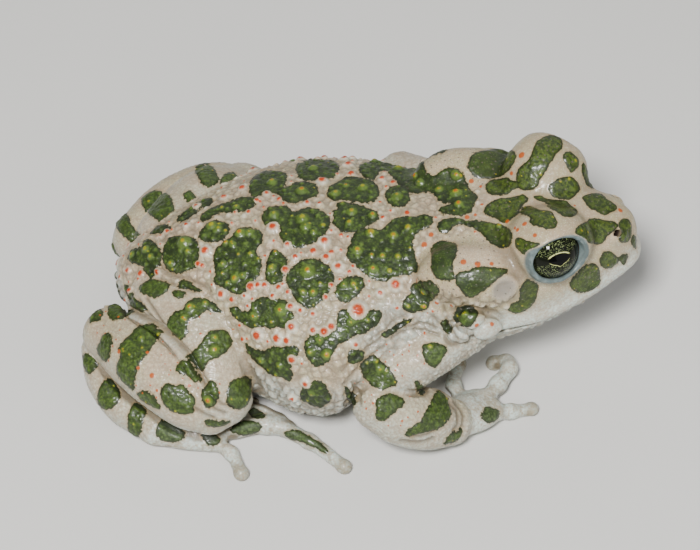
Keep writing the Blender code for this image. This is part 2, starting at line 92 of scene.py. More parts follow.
camera = bpy.data.objects.new("camera", bpy.data.cameras.new("camera"))
camera.data.sensor_width = SENSOR_WIDTH
camera.data.lens = focal_pixels * SENSOR_WIDTH / PHOTO_SIZE[0]
camera.data.clip_start = 0.01
camera.location = camera_place * MM
camera.rotation_euler = back_to_camera.to_track_quat("Z", "Y").to_euler()
bpy.context.scene.collection.objects.link(camera)
bpy.context.scene.camera = camera
print("camera lens in mm:", round(camera.data.lens, 1))


def photo_place(points):
    """Pixel across, pixel down and distance from the camera, for points in millimetres."""
    seen = points - np.array(camera_place)
    depth = -(seen @ np.array(back_to_camera))
    across = PHOTO_SIZE[0] / 2 + focal_pixels * (seen @ np.array(camera_right)) / depth
    down = PHOTO_SIZE[1] / 2 - focal_pixels * (seen @ np.array(camera_up)) / depth
    return across, down, depth


# %% [markdown]
# ## The forms under the skin
#
# A toad's body could be sculpted by hand, or lofted. Here it is lofted from the same sizes as the
# solids: a row for each cross-section of the trunk and head, and for each limb a row of places
# with the limb's half width and half height there. All are in millimetres.

# %% Sizes of the trunk and head
Section = namedtuple("Section", "x shift half level up down crown keel")
TRUNK = (
    Section(-36.7, 3.0, 0.4, 13.4, 0.4, 0.4, 2.0, 2.0),
    Section(-36.0, 2.9, 2.6, 13.4, 3.2, 3.6, 2.0, 2.0),
    Section(-34.3, 2.7, 5.0, 13.3, 5.8, 6.4, 2.0, 2.0),
    Section(-31.5, 2.4, 7.6, 13.2, 8.2, 9.0, 2.0, 2.0),
    Section(-28.0, 2.4, 10.0, 13.1, 10.4, 11.2, 2.0, 2.0),
    Section(-24.0, 2.6, 12.8, 13.2, 12.0, 12.7, 2.0, 2.0),
    Section(-20.0, 2.5, 15.6, 13.4, 12.9, 13.4, 2.0, 2.0),
    Section(-14.0, 2.2, 19.8, 13.8, 13.8, 14.3, 2.0, 2.1),
    Section(-8.0, 1.0, 22.3, 14.2, 14.3, 14.8, 2.0, 2.1),
    Section(-2.0, 0.6, 22.7, 14.8, 14.3, 15.0, 2.0, 2.0),
    Section(4.0, 1.2, 20.0, 17.0, 12.9, 14.6, 2.0, 1.85),
    Section(10.0, 0.9, 16.2, 19.6, 11.2, 14.2, 2.0, 1.7),
    Section(15.0, 0.0, 14.8, 20.8, 11.2, 12.6, 2.2, 1.8),
    Section(19.5, 0.0, 14.0, 20.8, 12.2, 10.0, 2.4, 2.0),
    Section(24.0, 0.0, 13.4, 20.6, 13.5, 7.6, 2.6, 2.0),
    Section(29.0, 0.0, 12.2, 20.9, 14.3, 6.2, 2.7, 2.0),
    Section(33.0, 0.0, 10.3, 21.3, 13.5, 5.4, 2.6, 2.0),
    Section(37.0, 0.0, 7.8, 21.9, 12.0, 4.7, 2.6, 2.0),
    Section(40.2, 0.0, 5.6, 22.6, 10.3, 4.0, 2.8, 2.0),
    Section(42.5, 0.0, 3.8, 23.2, 8.4, 3.0, 2.6, 2.0),
    Section(43.7, 0.0, 2.2, 24.0, 5.6, 2.1, 2.3, 2.0),
    Section(44.2, 0.0, 0.4, 26.0, 0.4, 0.4, 2.0, 2.0),
)
MOUTH = ((14.0, 19.2), (18.0, 19.9), (24.0, 20.5), (30.0, 20.9), (36.0, 21.8), (41.0, 22.9), (47.0, 24.0))
EYE_RADIUS = 4.3
EYE = Vector((29.9, 8.7, 33.7))
GAZE = (math.radians(70.0), math.radians(27.0))
BROW = Vector((30.0, 7.2, 33.9))
BROW_RADII = (6.4, 5.4, 5.0)
LID_RADIUS = 5.1
PAROTOID = Vector((18.6, 9.9, 29.2))
PAROTOID_RADII = (8.4, 4.8, 4.6)
EAR = Vector((22.9, 13.2, 30.2))
NOSTRIL = Vector((40.4, 3.3, 31.4))

# %% Sizes of the limbs
Stop = namedtuple("Stop", "x y z wide tall")


def route(*rows):
    """Stops from one end of a limb or digit to the other."""
    return [Stop(*row) for row in rows]


LIMBS = {
    "upper_arm_right": route(
        (17.0, -11.0, 18.0, 4.4, 4.8), (10.9, -15.8, 16.8, 4.0, 4.1), (5.2, -17.5, 13.2, 4.3, 4.3),
    ),
    "forearm_right": route(
        (4.6, -20.6, 11.6, 4.4, 4.4), (8.4, -21.1, 9.0, 4.8, 4.8), (12.4, -19.8, 6.2, 4.8, 4.8),
        (15.4, -19.0, 4.5, 3.7, 3.7),
    ),
    "upper_arm_left": route(
        (17.0, 11.5, 18.5, 4.4, 4.8), (12.8, 18.4, 16.8, 4.4, 4.5), (8.4, 23.4, 14.0, 4.3, 4.3),
    ),
    "forearm_left": route(
        (8.4, 23.6, 12.8, 4.3, 4.3), (11.6, 23.0, 9.2, 4.5, 4.5), (15.0, 21.0, 5.8, 4.0, 4.0),
        (17.6, 19.2, 4.0, 3.3, 3.3),
    ),
    "thigh_right": route(
        (-27.8, -4.2, 14.0, 7.0, 7.0), (-22.5, -9.7, 14.2, 7.0, 7.0), (-20.5, -17.9, 10.6, 5.7, 5.7),
    ),
    "shank_right": route(
        (-21.7, -19.4, 8.6, 4.2, 4.2), (-25.2, -18.6, 10.6, 4.9, 4.9), (-31.5, -12.8, 11.5, 5.4, 5.4),
        (-37.6, -5.8, 9.8, 4.3, 4.3),
    ),
    "thigh_left": route(
        (-27.2, 9.4, 14.0, 7.0, 7.0), (-22.4, 15.4, 13.6, 7.8, 7.8), (-17.8, 20.6, 11.4, 6.3, 6.3),
    ),
    "shank_left": route(
        (-17.2, 22.4, 10.4, 5.1, 5.1), (-23.0, 22.4, 10.4, 5.6, 5.6), (-29.2, 19.4, 9.8, 5.3, 5.3),
        (-34.0, 14.8, 8.9, 4.3, 4.3),
    ),
    "tarsus_right": route(
        (-39.6, -6.0, 6.4, 2.7, 2.8), (-38.6, -10.8, 4.8, 2.8, 2.8), (-35.4, -15.2, 3.6, 2.9, 2.9),
        (-30.7, -18.0, 2.8, 2.9, 2.7),
    ),
    "tarsus_left": route(
        (-36.0, 16.2, 6.4, 2.7, 2.8), (-34.6, 20.6, 4.8, 2.8, 2.8), (-31.2, 24.4, 3.6, 2.9, 2.9),
        (-26.6, 26.6, 2.8, 2.9, 2.7),
    ),
}

# %% Sizes of the hands and feet: the palm or sole first, then the digits
FEET = {
    "hand_right": (
        route((16.6, -17.9, 3.7, 3.0, 2.9), (19.2, -15.8, 2.9, 3.7, 2.4), (21.2, -13.9, 2.2, 3.6, 1.9)),
        route((18.6, -16.0, 1.9, 1.3, 1.3), (15.4, -13.6, 1.3, 1.1, 1.1), (13.4, -12.2, 0.75, 0.9, 0.9)),
        route((19.0, -14.8, 2.0, 1.5, 1.5), (16.4, -9.6, 1.6, 1.2, 1.2), (17.4, -4.6, 0.8, 1.0, 1.0)),
        route(
            (20.8, -13.8, 2.0, 1.6, 1.6), (23.4, -9.8, 2.2, 1.3, 1.3), (25.3, -6.6, 2.1, 1.2, 1.2),
            (24.9, -4.7, 1.5, 1.1, 1.1), (22.9, -4.5, 0.85, 1.05, 1.05),
        ),
        route(
            (20.8, -14.8, 1.9, 1.6, 1.6), (25.2, -14.5, 1.3, 1.15, 1.15), (28.6, -13.6, 0.75, 0.95, 0.95),
        ),
    ),
    "hand_left": (
        route((17.8, 18.8, 3.7, 2.9, 2.9), (20.0, 16.4, 2.8, 3.1, 2.4), (21.8, 14.2, 2.2, 3.2, 1.9)),
        route((19.4, 15.6, 1.9, 1.3, 1.3), (16.8, 12.2, 1.3, 1.1, 1.1), (15.4, 10.4, 0.75, 0.9, 0.9)),
        route((20.2, 14.8, 2.0, 1.5, 1.5), (19.2, 9.6, 1.4, 1.2, 1.2), (18.8, 5.4, 0.8, 1.0, 1.0)),
        route((21.4, 14.0, 2.0, 1.6, 1.6), (23.8, 9.2, 1.5, 1.2, 1.2), (25.4, 4.8, 0.8, 1.0, 1.0)),
        route((21.4, 15.0, 1.9, 1.6, 1.6), (25.4, 13.6, 1.3, 1.15, 1.15), (28.6, 11.8, 0.75, 0.95, 0.95)),
    ),
    "foot_right": (
        route((-29.6, -18.5, 2.7, 2.8, 2.6), (-26.0, -19.3, 2.3, 2.9, 2.2), (-22.0, -19.6, 1.8, 2.8, 1.8)),
        route(
            (-23.8, -18.6, 1.6, 1.1, 1.1), (-20.6, -15.4, 1.2, 0.95, 0.95),
            (-19.4, -13.4, 0.75, 0.85, 0.85),
        ),
        route((-22.6, -18.4, 1.7, 1.2, 1.2), (-18.6, -14.2, 1.3, 1.0, 1.0), (-15.4, -12.4, 0.75, 0.9, 0.9)),
        route(
            (-21.4, -18.6, 1.9, 1.3, 1.3), (-15.2, -14.9, 2.4, 1.15, 1.15), (-11.4, -16.2, 1.6, 1.1, 1.1),
            (-9.6, -17.4, 0.8, 1.0, 1.0),
        ),
        route(
            (-21.2, -19.4, 1.8, 1.6, 1.5), (-13.0, -17.6, 1.9, 1.35, 1.35), (-6.4, -20.4, 1.4, 1.15, 1.15),
            (-0.9, -24.9, 0.8, 1.0, 1.0),
        ),
        route(
            (-21.8, -20.2, 1.7, 1.4, 1.4), (-18.6, -22.6, 1.4, 1.05, 1.05), (-16.8, -26.2, 0.8, 1.0, 1.0),
        ),
    ),
    "foot_left": (
        route((-25.6, 26.9, 2.7, 2.8, 2.6), (-22.0, 27.4, 2.3, 2.9, 2.2), (-18.0, 27.2, 1.8, 2.8, 1.8)),
        route(
            (-19.6, 26.2, 1.6, 1.1, 1.1), (-17.0, 23.4, 1.2, 0.95, 0.95), (-16.2, 21.4, 0.75, 0.85, 0.85),
        ),
        route((-18.6, 26.0, 1.7, 1.2, 1.2), (-14.6, 22.8, 1.3, 1.0, 1.0), (-11.6, 21.4, 0.75, 0.9, 0.9)),
        route((-17.6, 26.4, 1.8, 1.3, 1.3), (-11.6, 24.8, 1.4, 1.15, 1.15), (-6.2, 25.2, 0.8, 1.0, 1.0)),
        route(
            (-17.2, 27.0, 1.8, 1.6, 1.5), (-10.0, 27.2, 1.6, 1.35, 1.35), (-3.6, 28.6, 1.3, 1.15, 1.15),
            (1.8, 31.0, 0.8, 1.0, 1.0),
        ),
        route((-17.8, 28.0, 1.7, 1.4, 1.4), (-13.6, 30.6, 1.3, 1.05, 1.05), (-10.4, 33.4, 0.8, 0.95, 0.95)),
    ),
}
print("limb pieces:", len(LIMBS), "hands and feet:", len(FEET))


# %% Curves and cross-sections
def through(rows, at):
    """Values on one smooth curve through the rows, where 0 is the first row and 1 the next."""
    rows = np.asarray(rows, float)
    slope = np.gradient(rows, axis=0)
    start = np.clip(np.floor(at).astype(int), 0, len(rows) - 2)
    t = (np.asarray(at, float) - start)[:, None]
    value = (2 * t**3 - 3 * t**2 + 1) * rows[start] + (3 * t**2 - 2 * t**3) * rows[start + 1]
    lean = (t**3 - 2 * t**2 + t) * slope[start] + (t**3 - t**2) * slope[start + 1]
    return value + lean


def section_at(x):
    """The trunk's section at this x."""
    row = np.interp(x, [section.x for section in TRUNK], range(len(TRUNK)))
    return through(TRUNK, np.array([row]))[0]


def on_section(section, turns):
    """Points of a trunk section at these turns: 0 is the toad's left, a quarter turn is the top."""
    x, shift, half, level, up, down, crown, keel = section
    c, s = np.cos(turns), np.sin(turns)
    power = np.where(s >= 0, 2 / crown, 2 / keel)
    reach = np.where(s >= 0, up, down)
    y = shift + half * np.sign(c) * np.abs(c) ** power
    return np.stack([np.full_like(y, x), y, level + reach * np.sign(s) * np.abs(s) ** power], 1)


def width_at(section, height):
    """Half the width of a trunk section at this height."""
    above = height > section[3]
    reach, square = (section[4], section[6]) if above else (section[5], section[7])
    share = min(abs(height - section[3]) / reach, 1.0)
    return section[2] * (1 - share**square) ** (1 / square)


print("trunk half width at the eyes:", round(width_at(section_at(EYE.x), EYE.z), 1))


# %% A form from rings, and the trunk
def form_over(rings):
    """Points and triangles of a closed form over rings of equal count."""
    rings = np.asarray(rings, float)
    turns, count = rings.shape[:2]
    points = np.concatenate([rings.reshape(-1, 3), [rings[0].mean(0), rings[-1].mean(0)]])
    points[:, 0] -= BELLY_X
    i = np.arange(count)
    j = (i + 1) % count
    faces = []
    for start in range(0, (turns - 1) * count, count):
        a, b = start + i, start + count + i
        c, d = start + j, start + count + j
        faces += [np.stack([a, c, d], 1), np.stack([a, d, b], 1)]
    last = (turns - 1) * count
    faces.append(np.stack([i, np.full(count, turns * count), j], 1))
    faces.append(np.stack([last + i, last + j, np.full(count, turns * count + 1)], 1))
    return points, np.concatenate(faces)


def trunk_form(rings=150, sides=96):
    turns = np.linspace(0, 2 * math.pi, sides, endpoint=False)
    sections = through(TRUNK, np.linspace(0, len(TRUNK) - 1, rings))
    return form_over([on_section(section, turns) for section in sections])


print("trunk form:", len(trunk_form()[0]), "points")


# %% Limbs as tubes
def tube_form(stops, rings=30, sides=28, end_steps=7):
    """A limb of oval section through its stops, with rounded ends."""
    rows = through(stops, np.linspace(0, len(stops) - 1, rings))
    along = np.gradient(rows[:, :3], axis=0)
    along /= np.linalg.norm(along, axis=1)[:, None]
    leans = math.pi / 2 * np.arange(1, end_steps + 1) / (end_steps + 0.5)
    stations = [(row[:3], axis, row[3], row[4]) for row, axis in zip(rows, along)]
    caps = []
    for (middle, axis, wide, tall), sign in ((stations[0], -1), (stations[-1], 1)):
        reach = sign * min(wide, tall)
        caps.append(
            [
                (middle + axis * reach * math.sin(a), axis, wide * math.cos(a), tall * math.cos(a))
                for a in leans
            ]
        )
    turns = np.linspace(0, 2 * math.pi, sides, endpoint=False)[:, None]
    made = []
    for middle, axis, wide, tall in caps[0][::-1] + stations + caps[1]:
        side = np.cross(axis, (0, 0, 1))
        side /= np.linalg.norm(side)
        up = np.cross(side, axis)
        made.append(middle + side * wide * np.cos(turns) + up * tall * np.sin(turns))
    return form_over(made)


print("right thigh:", len(tube_form(LIMBS["thigh_right"])[0]), "points")


# %% Balls, and places on both sides
def ball_form(centre, radii, facing=(1, 0, 0), rings=24, sides=36):
    """An ellipsoid whose first radius lies along its facing, and whose second lies level."""
    facing = np.array(facing, float)
    side = np.cross(facing, (0, 0, 1))
    side /= np.linalg.norm(side)
    up = np.cross(side, facing)
    turns = np.linspace(0, 2 * math.pi, sides, endpoint=False)[:, None]
    made = []
    for lean in math.pi * np.arange(1, rings) / rings:
        ring = side * radii[1] * np.cos(turns) + up * radii[2] * np.sin(turns)
        made.append(np.array(centre) - facing * radii[0] * math.cos(lean) + ring * math.sin(lean))
    return form_over(made)


def flip(v, side):
    """The same place on the left (1) or the right (-1)."""
    return Vector((v[0], v[1] * side, v[2]))


print("right eye:", [round(c, 1) for c in flip(EYE, -1)])

# %% [markdown]
# ## One skin over all of it
#
# Flesh has no seams, and where a thigh lies on a flank there is a soft fold. Joining meshes with a
# Boolean would leave sharp edges there. So each form is turned into a field of distances on one
# fine lattice, the fields are melted together with a chosen softness, and the skin is read back
# where the melted field is zero. The lattice decides how fine the skin can be. A second lattice
# remembers which form lies nearest, so that later a blotch of the thigh stays off the flank.

# %% The lattice of distances
FINE_STEP = 0.21
STEP = FINE_STEP
BAND = 2.7
MARGIN = 4.0
low_cell = np.array([math.floor((c / MM - MARGIN) / STEP) for c in cad_box[0]])
high_cell = np.array([math.ceil((c / MM + MARGIN) / STEP) for c in cad_box[1]])
flesh = np.full(high_cell - low_cell + 1, BAND, np.float32)
nearest_gap = flesh.copy()
nearest_form = np.zeros(flesh.shape, np.uint8)
form_names = ["air"]


def distances(form):
    """A form's distances on the part of the lattice around it, and which part that is."""
    points, faces = form
    grid = openvdb.FloatGrid.createLevelSetFromPolygons(
        points.astype(np.float32),
        triangles=faces.astype(np.uint32),
        transform=openvdb.createLinearTransform(voxelSize=STEP),
        halfWidth=BAND / STEP,
    )
    low = np.maximum(np.floor((points.min(0) - BAND) / STEP).astype(int), low_cell)
    high = np.minimum(np.ceil((points.max(0) + BAND) / STEP).astype(int), high_cell)
    near = np.full(high - low + 1, BAND, np.float32)
    grid.copyToArray(near, ijk=tuple(int(c) for c in low))
    where = tuple(slice(a, b + 1) for a, b in zip(low - low_cell, high - low_cell))
    return near, where


print("lattice:", flesh.shape, "of", STEP, "mm")


# %% Melt a form on, or carve it out
def melt(a, b, softness):
    """The nearer of two distances, rounded where they are alike."""
    share = np.clip(0.5 + 0.5 * (b - a) / softness, 0, 1)
    return b * (1 - share) + a * share - softness * share * (1 - share)


def add(form, softness, name):
    """Melts a form onto the flesh, and notes where it is the nearest one."""
    near, where = distances(form)
    flesh[where] = melt(flesh[where], near, softness)
    if name not in form_names:
        form_names.append(name)
    nearer = near < nearest_gap[where]
    nearest_gap[where][nearer] = near[nearer]
    nearest_form[where][nearer] = form_names.index(name)


def carve(form, softness):
    """Takes a form away from the flesh."""
    near, where = distances(form)
    flesh[where] = -melt(-flesh[where], near, softness)


print("two surfaces at one place melt to", float(melt(0.0, 0.0, 1.0)), "mm")

# %% [markdown]
# The softness is small where the real toad has a crease, such as thigh on flank or shank on
# thigh, and large where one form flows into the next, such as the shoulder.

# %% Melt trunk, limbs and digits together
SOFTNESS = {"upper_arm": 1.8, "forearm": 0.5, "thigh": 1.2, "shank": 0.4, "tarsus": 0.5}
TRUNK_SOFTNESS = 0.01
BROW_SOFTNESS = 2.6
LID_SOFTNESS = 0.9
PAROTOID_SOFTNESS = 1.8
PALM_SOFTNESS = 0.5
SOLE_SOFTNESS = 2.2
DIGIT_SOFTNESS = 1.0
KNUCKLE = 1.13
KNUCKLE_SOFTNESS = 0.6

add(trunk_form(), TRUNK_SOFTNESS, "trunk")
for side in (1, -1):
    add(ball_form(flip(BROW, side), BROW_RADII), BROW_SOFTNESS, "trunk")
    add(ball_form(flip(EYE, side), (LID_RADIUS,) * 3), LID_SOFTNESS, "trunk")
    add(ball_form(flip(PAROTOID, side), PAROTOID_RADII), PAROTOID_SOFTNESS, "trunk")
for name, stops in LIMBS.items():
    add(tube_form(stops), SOFTNESS[name.rsplit("_", 1)[0]], name)
for name, pieces in FEET.items():
    add(tube_form(pieces[0]), PALM_SOFTNESS if name.startswith("hand") else SOLE_SOFTNESS, name)
    for digit in pieces[1:]:
        add(tube_form(digit), DIGIT_SOFTNESS, name)
        for stop in digit[1:]:
            knuckle = ball_form(stop[:3], (stop.wide * KNUCKLE, stop.wide * KNUCKLE, stop.tall * KNUCKLE))
            add(knuckle, KNUCKLE_SOFTNESS, name)
print("flesh cells:", int((flesh < 0).sum()))

# %% [markdown]
# ## Jaw, lips and the warts at the jaw's corner
#
# The upper lip is a smooth pale bead that overhangs the thinner lower jaw, with one fine dark line
# between them. Each follows one path round the snout: the jaw is drawn in by carving a tube along
# it, the beads are melted on and the line is carved as a thin tube.

# %% Lips and mouth line
LIP_X = (21.5, 24.0, 26.5, 29.0, 32.0, 35.0, 38.0, 40.5, 42.3, 43.3)
LIP_FRONT = 43.7
CORNER_END = (24.0, 33.0)
LIP_SOFTNESS = 1.0
UNDER_LIP_SOFTNESS = 0.8
MOUTH_LINE_SOFTNESS = 0.35


def round_the_mouth(lift, sink, radius, forward, at_corner=1.0):
    """Stops of a tube that follows the mouth from the right corner round the snout to the left."""
    levels = {x: float(np.interp(x, *zip(*MOUTH))) + lift for x in (*LIP_X, LIP_FRONT)}
    left = [(x, width_at(section_at(x), levels[x]) - sink, levels[x]) for x in LIP_X]
    path = left + [(LIP_FRONT + forward, 0.0, levels[LIP_FRONT])] + [(x, -y, z) for x, y, z in left[::-1]]
    shares = [float(np.interp(place[0], CORNER_END, (at_corner, 1.0))) for place in path]
    return [Stop(*place, radius * s, radius * s) for place, s in zip(path, shares)]


UPPER_LIP = (1.15, 0.95, 1.2, 0.0)
LOWER_LIP = (-0.8, 1.25, 0.65, -0.6)
UNDER_LIP = (-2.6, -1.5, 2.5, 1.4, 0.62)
MOUTH_LINE = (-0.05, 0.3, 0.3, 0.3)
carve(tube_form(round_the_mouth(*UNDER_LIP), rings=110, sides=24), UNDER_LIP_SOFTNESS)
for lip in (UPPER_LIP, LOWER_LIP):
    add(tube_form(round_the_mouth(*lip), rings=110, sides=14), LIP_SOFTNESS, "trunk")
carve(tube_form(round_the_mouth(*MOUTH_LINE), rings=110, sides=14), MOUTH_LINE_SOFTNESS)

# %% Warts at the jaw's corner
JAW_WARTS = ((18.4, 15, 1.9), (20.3, 6, 2.3), (16.5, 4, 1.8))
JAW_WART_RADII = (1.1, 1.0, 0.85)
JAW_WART_OUT = (1, 1.04, 1)
JAW_WART_SOFTNESS = 0.2
jaw_wart_places = []
for side in (-1, 1):
    for x, turn, radius in JAW_WARTS:
        turn = math.radians(turn if side > 0 else 180 - turn)
        here = on_section(section_at(x), np.array([turn]))[0] * JAW_WART_OUT
        add(ball_form(here, [radius * r for r in JAW_WART_RADII]), JAW_WART_SOFTNESS, "trunk")
        jaw_wart_places.append((*here, radius))
print("jaw warts:", len(jaw_wart_places))

# %% Ear discs and nostrils
EAR_TURN = math.radians(70.0)
EAR_LIFT = 0.3
EAR_RIM = (0.85, 2.35, 2.2)
EAR_HOLLOW = (0.5, 1.95, 1.8)
EAR_OUT = 0.95
RIM_SOFTNESS = 0.8
HOLLOW_SOFTNESS = 0.3
NOSTRIL_SWELL = (1.7, 1.2, 1.2)
SWELL_BACK = Vector((0.3, 0, 0.7))
NOSTRIL_OPENING = NOSTRIL + Vector((0.1, 0.35, 0.2))
NOSTRIL_RADII = (1.5, 0.62, 0.42)
NOSTRIL_IN = Vector((-0.75, -0.55, -0.37)).normalized()
NOSTRIL_DEPTH = 0.8
NOSTRIL_SOFTNESS = 0.2
for side in (1, -1):
    facing = Vector((math.cos(EAR_TURN), side * math.sin(EAR_TURN), EAR_LIFT)).normalized()
    add(ball_form(flip(EAR, side), EAR_RIM, facing), RIM_SOFTNESS, "trunk")
    carve(ball_form(flip(EAR, side) + facing * EAR_OUT, EAR_HOLLOW, facing), HOLLOW_SOFTNESS)
    add(ball_form(flip(NOSTRIL, side) - SWELL_BACK, NOSTRIL_SWELL), RIM_SOFTNESS, "trunk")
    hole = flip(NOSTRIL_OPENING, side) + NOSTRIL_DEPTH * flip(NOSTRIL_IN, side)
    carve(ball_form(hole, NOSTRIL_RADII, flip(NOSTRIL_IN, side)), NOSTRIL_SOFTNESS)
print("left nostril:", [round(c, 1) for c in NOSTRIL_OPENING])

# %% [markdown]
# ## Eye sockets
#
# Each lid hugs its eyeball as a thin shell. The socket is a ball just larger than the eyeball, and
# the opening between the lids is a wide oval cut that runs outward from the eye's middle.


# %% Sockets and the floor
def turned(side, turn, lift):
    """A direction turned outward from the snout by one angle and lifted by another."""
    flat = math.cos(lift)
    return Vector((math.cos(turn) * flat, side * math.sin(turn) * flat, math.sin(lift)))


SOCKET_SLACK = 0.1
SOCKET_SOFTNESS = 0.05
OPENING = (math.radians(66.0), math.radians(18.0))
OPENING_OUT = 4.4
OPENING_RADII = (3.4, 4.7, 3.75)
OPENING_SOFTNESS = 0.45
FLOOR_SOFTNESS = 0.5
for side in (1, -1):
    facing = turned(side, *OPENING)
    carve(ball_form(flip(EYE, side), (EYE_RADIUS + SOCKET_SLACK,) * 3), SOCKET_SOFTNESS)
    carve(ball_form(flip(EYE, side) + facing * OPENING_OUT, OPENING_RADII, facing), OPENING_SOFTNESS)

heights = (np.arange(low_cell[2], high_cell[2] + 1) * STEP).astype(np.float32)
flesh[...] = -melt(-flesh, heights[None, None, :], FLOOR_SOFTNESS)
print("right eye looks along:", [round(c, 2) for c in turned(-1, *GAZE)])

# %% Read the skin back from the lattice
lattice_grid = openvdb.FloatGrid(background=BAND)
lattice_grid.copyFromArray(flesh, ijk=tuple(int(c) for c in low_cell))
lattice_grid.transform = openvdb.createLinearTransform(voxelSize=STEP)
skin_points, skin_quads = lattice_grid.convertToQuads(isovalue=0.0)
skin_points = np.array(skin_points, float)
skin_quads = np.array(skin_quads, int)
skin_cells = tuple(np.round(skin_points / STEP).astype(int).T - low_cell[:, None])
skin_forms = nearest_form[skin_cells]
print("skin:", len(skin_points), "points", len(skin_quads), "quads")


# %% [markdown]
# ## Helpers that measure the skin
#
# The rest of the work is done to the points of this one mesh: each gets a way out of the flesh,
# a place in the photograph, and whether the camera sees it there.

# %% Mesh from points
def mesh_of(name, points, faces):
    """An object from points in millimetres."""
    mesh = bpy.data.meshes.new(name)
    mesh.vertices.add(len(points))
    mesh.vertices.foreach_set("co", (np.asarray(points) * MM).ravel())
    mesh.loops.add(faces.size)
    mesh.loops.foreach_set("vertex_index", faces.ravel())
    mesh.polygons.add(len(faces))
    mesh.polygons.foreach_set("loop_start", np.arange(len(faces)) * faces.shape[1])
    mesh.update(calc_edges=True)
    mesh.shade_smooth()
    obj = bpy.data.objects.new(name, mesh)
    bpy.context.scene.collection.objects.link(obj)
    return obj


skin = mesh_of("skin", skin_points, skin_quads)
outward = np.empty(len(skin_points) * 3)
skin.data.vertex_normals.foreach_get("vector", outward)
outward = outward.reshape(-1, 3)
print("highest point:", round(float(skin_points[:, 2].max()), 1), "mm")


# %% Zones, soft steps and folds
def owned_by(*names):
    """Which points lie on forms whose names start with one of these."""
    return np.isin(skin_forms, [i for i, form in enumerate(form_names) if form.startswith(names)])


def smooth_step(low, high, value):
    """0 below low, 1 above high, and a soft rise between."""
    t = np.clip((value - low) / (high - low), 0, 1)
    return t * t * (3 - 2 * t)


def flesh_gap(points):
    """Distance from points to the flesh, read between the lattice's corners."""
    scaled = points / STEP - low_cell
    base = np.clip(np.floor(scaled).astype(int), 0, np.array(flesh.shape) - 2)
    t = scaled - base
    total = np.zeros(len(points))
    for corner in np.ndindex(2, 2, 2):
        share = np.prod(np.where(corner, t, 1 - t), axis=1)
        total += share * flesh[tuple((base + corner).T)]
    return total


# fold is high where a point is closed in by nearby flesh: it sinks the relief there and sets painted crease
# shade
FOLD_REACH = 1.2
fold = smooth_step(0.95, 0.5, flesh_gap(skin_points + outward * FOLD_REACH) / FOLD_REACH)
print("points on the trunk:", int(owned_by("trunk").sum()), "in folds:", int((fold > 0.5).sum()))

# %% What the camera sees
DEPTH_BIN = 3.0 * (STEP / FINE_STEP)
DEPTH_SLACK = 1.5
BINS_ACROSS = 1000
EDGE_ON = 0.03
across, down, depth = photo_place(skin_points)
toward_camera = np.array(camera_place) - skin_points
toward_camera /= np.linalg.norm(toward_camera, axis=1)[:, None]
facing_camera = (toward_camera * outward).sum(1)
bins = (down // DEPTH_BIN).astype(int) * BINS_ACROSS + (across // DEPTH_BIN).astype(int)
nearest_depth = np.full(bins.max() + 1, np.inf)
np.minimum.at(nearest_depth, bins, depth)
seen = (facing_camera > EDGE_ON) & (depth < nearest_depth[bins] + DEPTH_SLACK)
print("points that the camera sees:", int(seen.sum()))


# %% Cell patterns and waves
def lattice_values(cells, seed):
    """Three random values from 0 to 1 for each whole-numbered cell, the same on every run."""
    mixed = cells[:, 0] * 73856093 ^ cells[:, 1] * 19349663 ^ cells[:, 2] * 83492791 ^ seed * 2654435761
    values = []
    for turn in (1, 2, 3):
        mixed = (mixed ^ (mixed >> 15)) * 2246822519 + turn & 0xFFFFFFFF
        mixed = (mixed ^ (mixed >> 13)) * 3266489917 & 0xFFFFFFFF
        values.append((mixed ^ (mixed >> 16)) / 0xFFFFFFFF)
    return np.stack(values, 1)


def cell_pattern(points, size, seed):
    """Distances to the nearest and second nearest of loosely spaced middles, in cells."""
    scaled = points / size
    base = np.floor(scaled).astype(np.int64)
    first = np.full(len(points), 9.0)
    second = first.copy()
    for dx in (-1, 0, 1):
        for dy in (-1, 0, 1):
            for dz in (-1, 0, 1):
                cells = base + (dx, dy, dz)
                gap = np.linalg.norm(cells + lattice_values(cells, seed) - scaled, axis=1)
                second = np.minimum(second, np.maximum(first, gap))
                first = np.minimum(first, gap)
    return first, second


def waves(points, size, seed):
    """Smooth random waves from 0 to 1."""
    scaled = points / size
    base = np.floor(scaled).astype(np.int64)
    t = scaled - base
    t = t * t * (3 - 2 * t)
    total = np.zeros(len(points))
    for corner in np.ndindex(2, 2, 2):
        share = np.prod(np.where(corner, t, 1 - t), axis=1)
        total += share * lattice_values(base + corner, seed)[:, 0]
    return total


print("skin waves from", round(float(waves(skin_points, 3.0, 1).min()), 2))

# %% Neighbours, and places scattered apart
skin_tree = kdtree.KDTree(len(skin_points))
for i, point in enumerate(skin_points):
    skin_tree.insert(point, i)
skin_tree.balance()


def near(place, radius):
    """The skin's points within a radius, and how far off each is."""
    found = skin_tree.find_range(place, radius)
    return np.array([f[1] for f in found], int), np.array([f[2] for f in found])


def scatter(candidates, spacing, seed, limit=100000):
    """Points drawn from the candidates, none closer to another than the spacing."""
    draw = np.random.default_rng(seed)
    taken = {}
    chosen = []
    for i in draw.permutation(candidates):
        x, y, z = skin_points[i]
        cell = (int(x // spacing), int(y // spacing), int(z // spacing))
        crowd = [
            taken[c]
            for dx in (-1, 0, 1)
            for dy in (-1, 0, 1)
            for dz in (-1, 0, 1)
            if (c := (cell[0] + dx, cell[1] + dy, cell[2] + dz)) in taken
        ]
        if any((x - a) ** 2 + (y - b) ** 2 + (z - c) ** 2 < spacing**2 for a, b, c in crowd):
            continue
        taken[cell] = (x, y, z)
        chosen.append(int(i))
        if len(chosen) == limit:
            break
    return chosen


print("points within 1 mm of the first:", len(near(skin_points[0], 1.0)[0]))

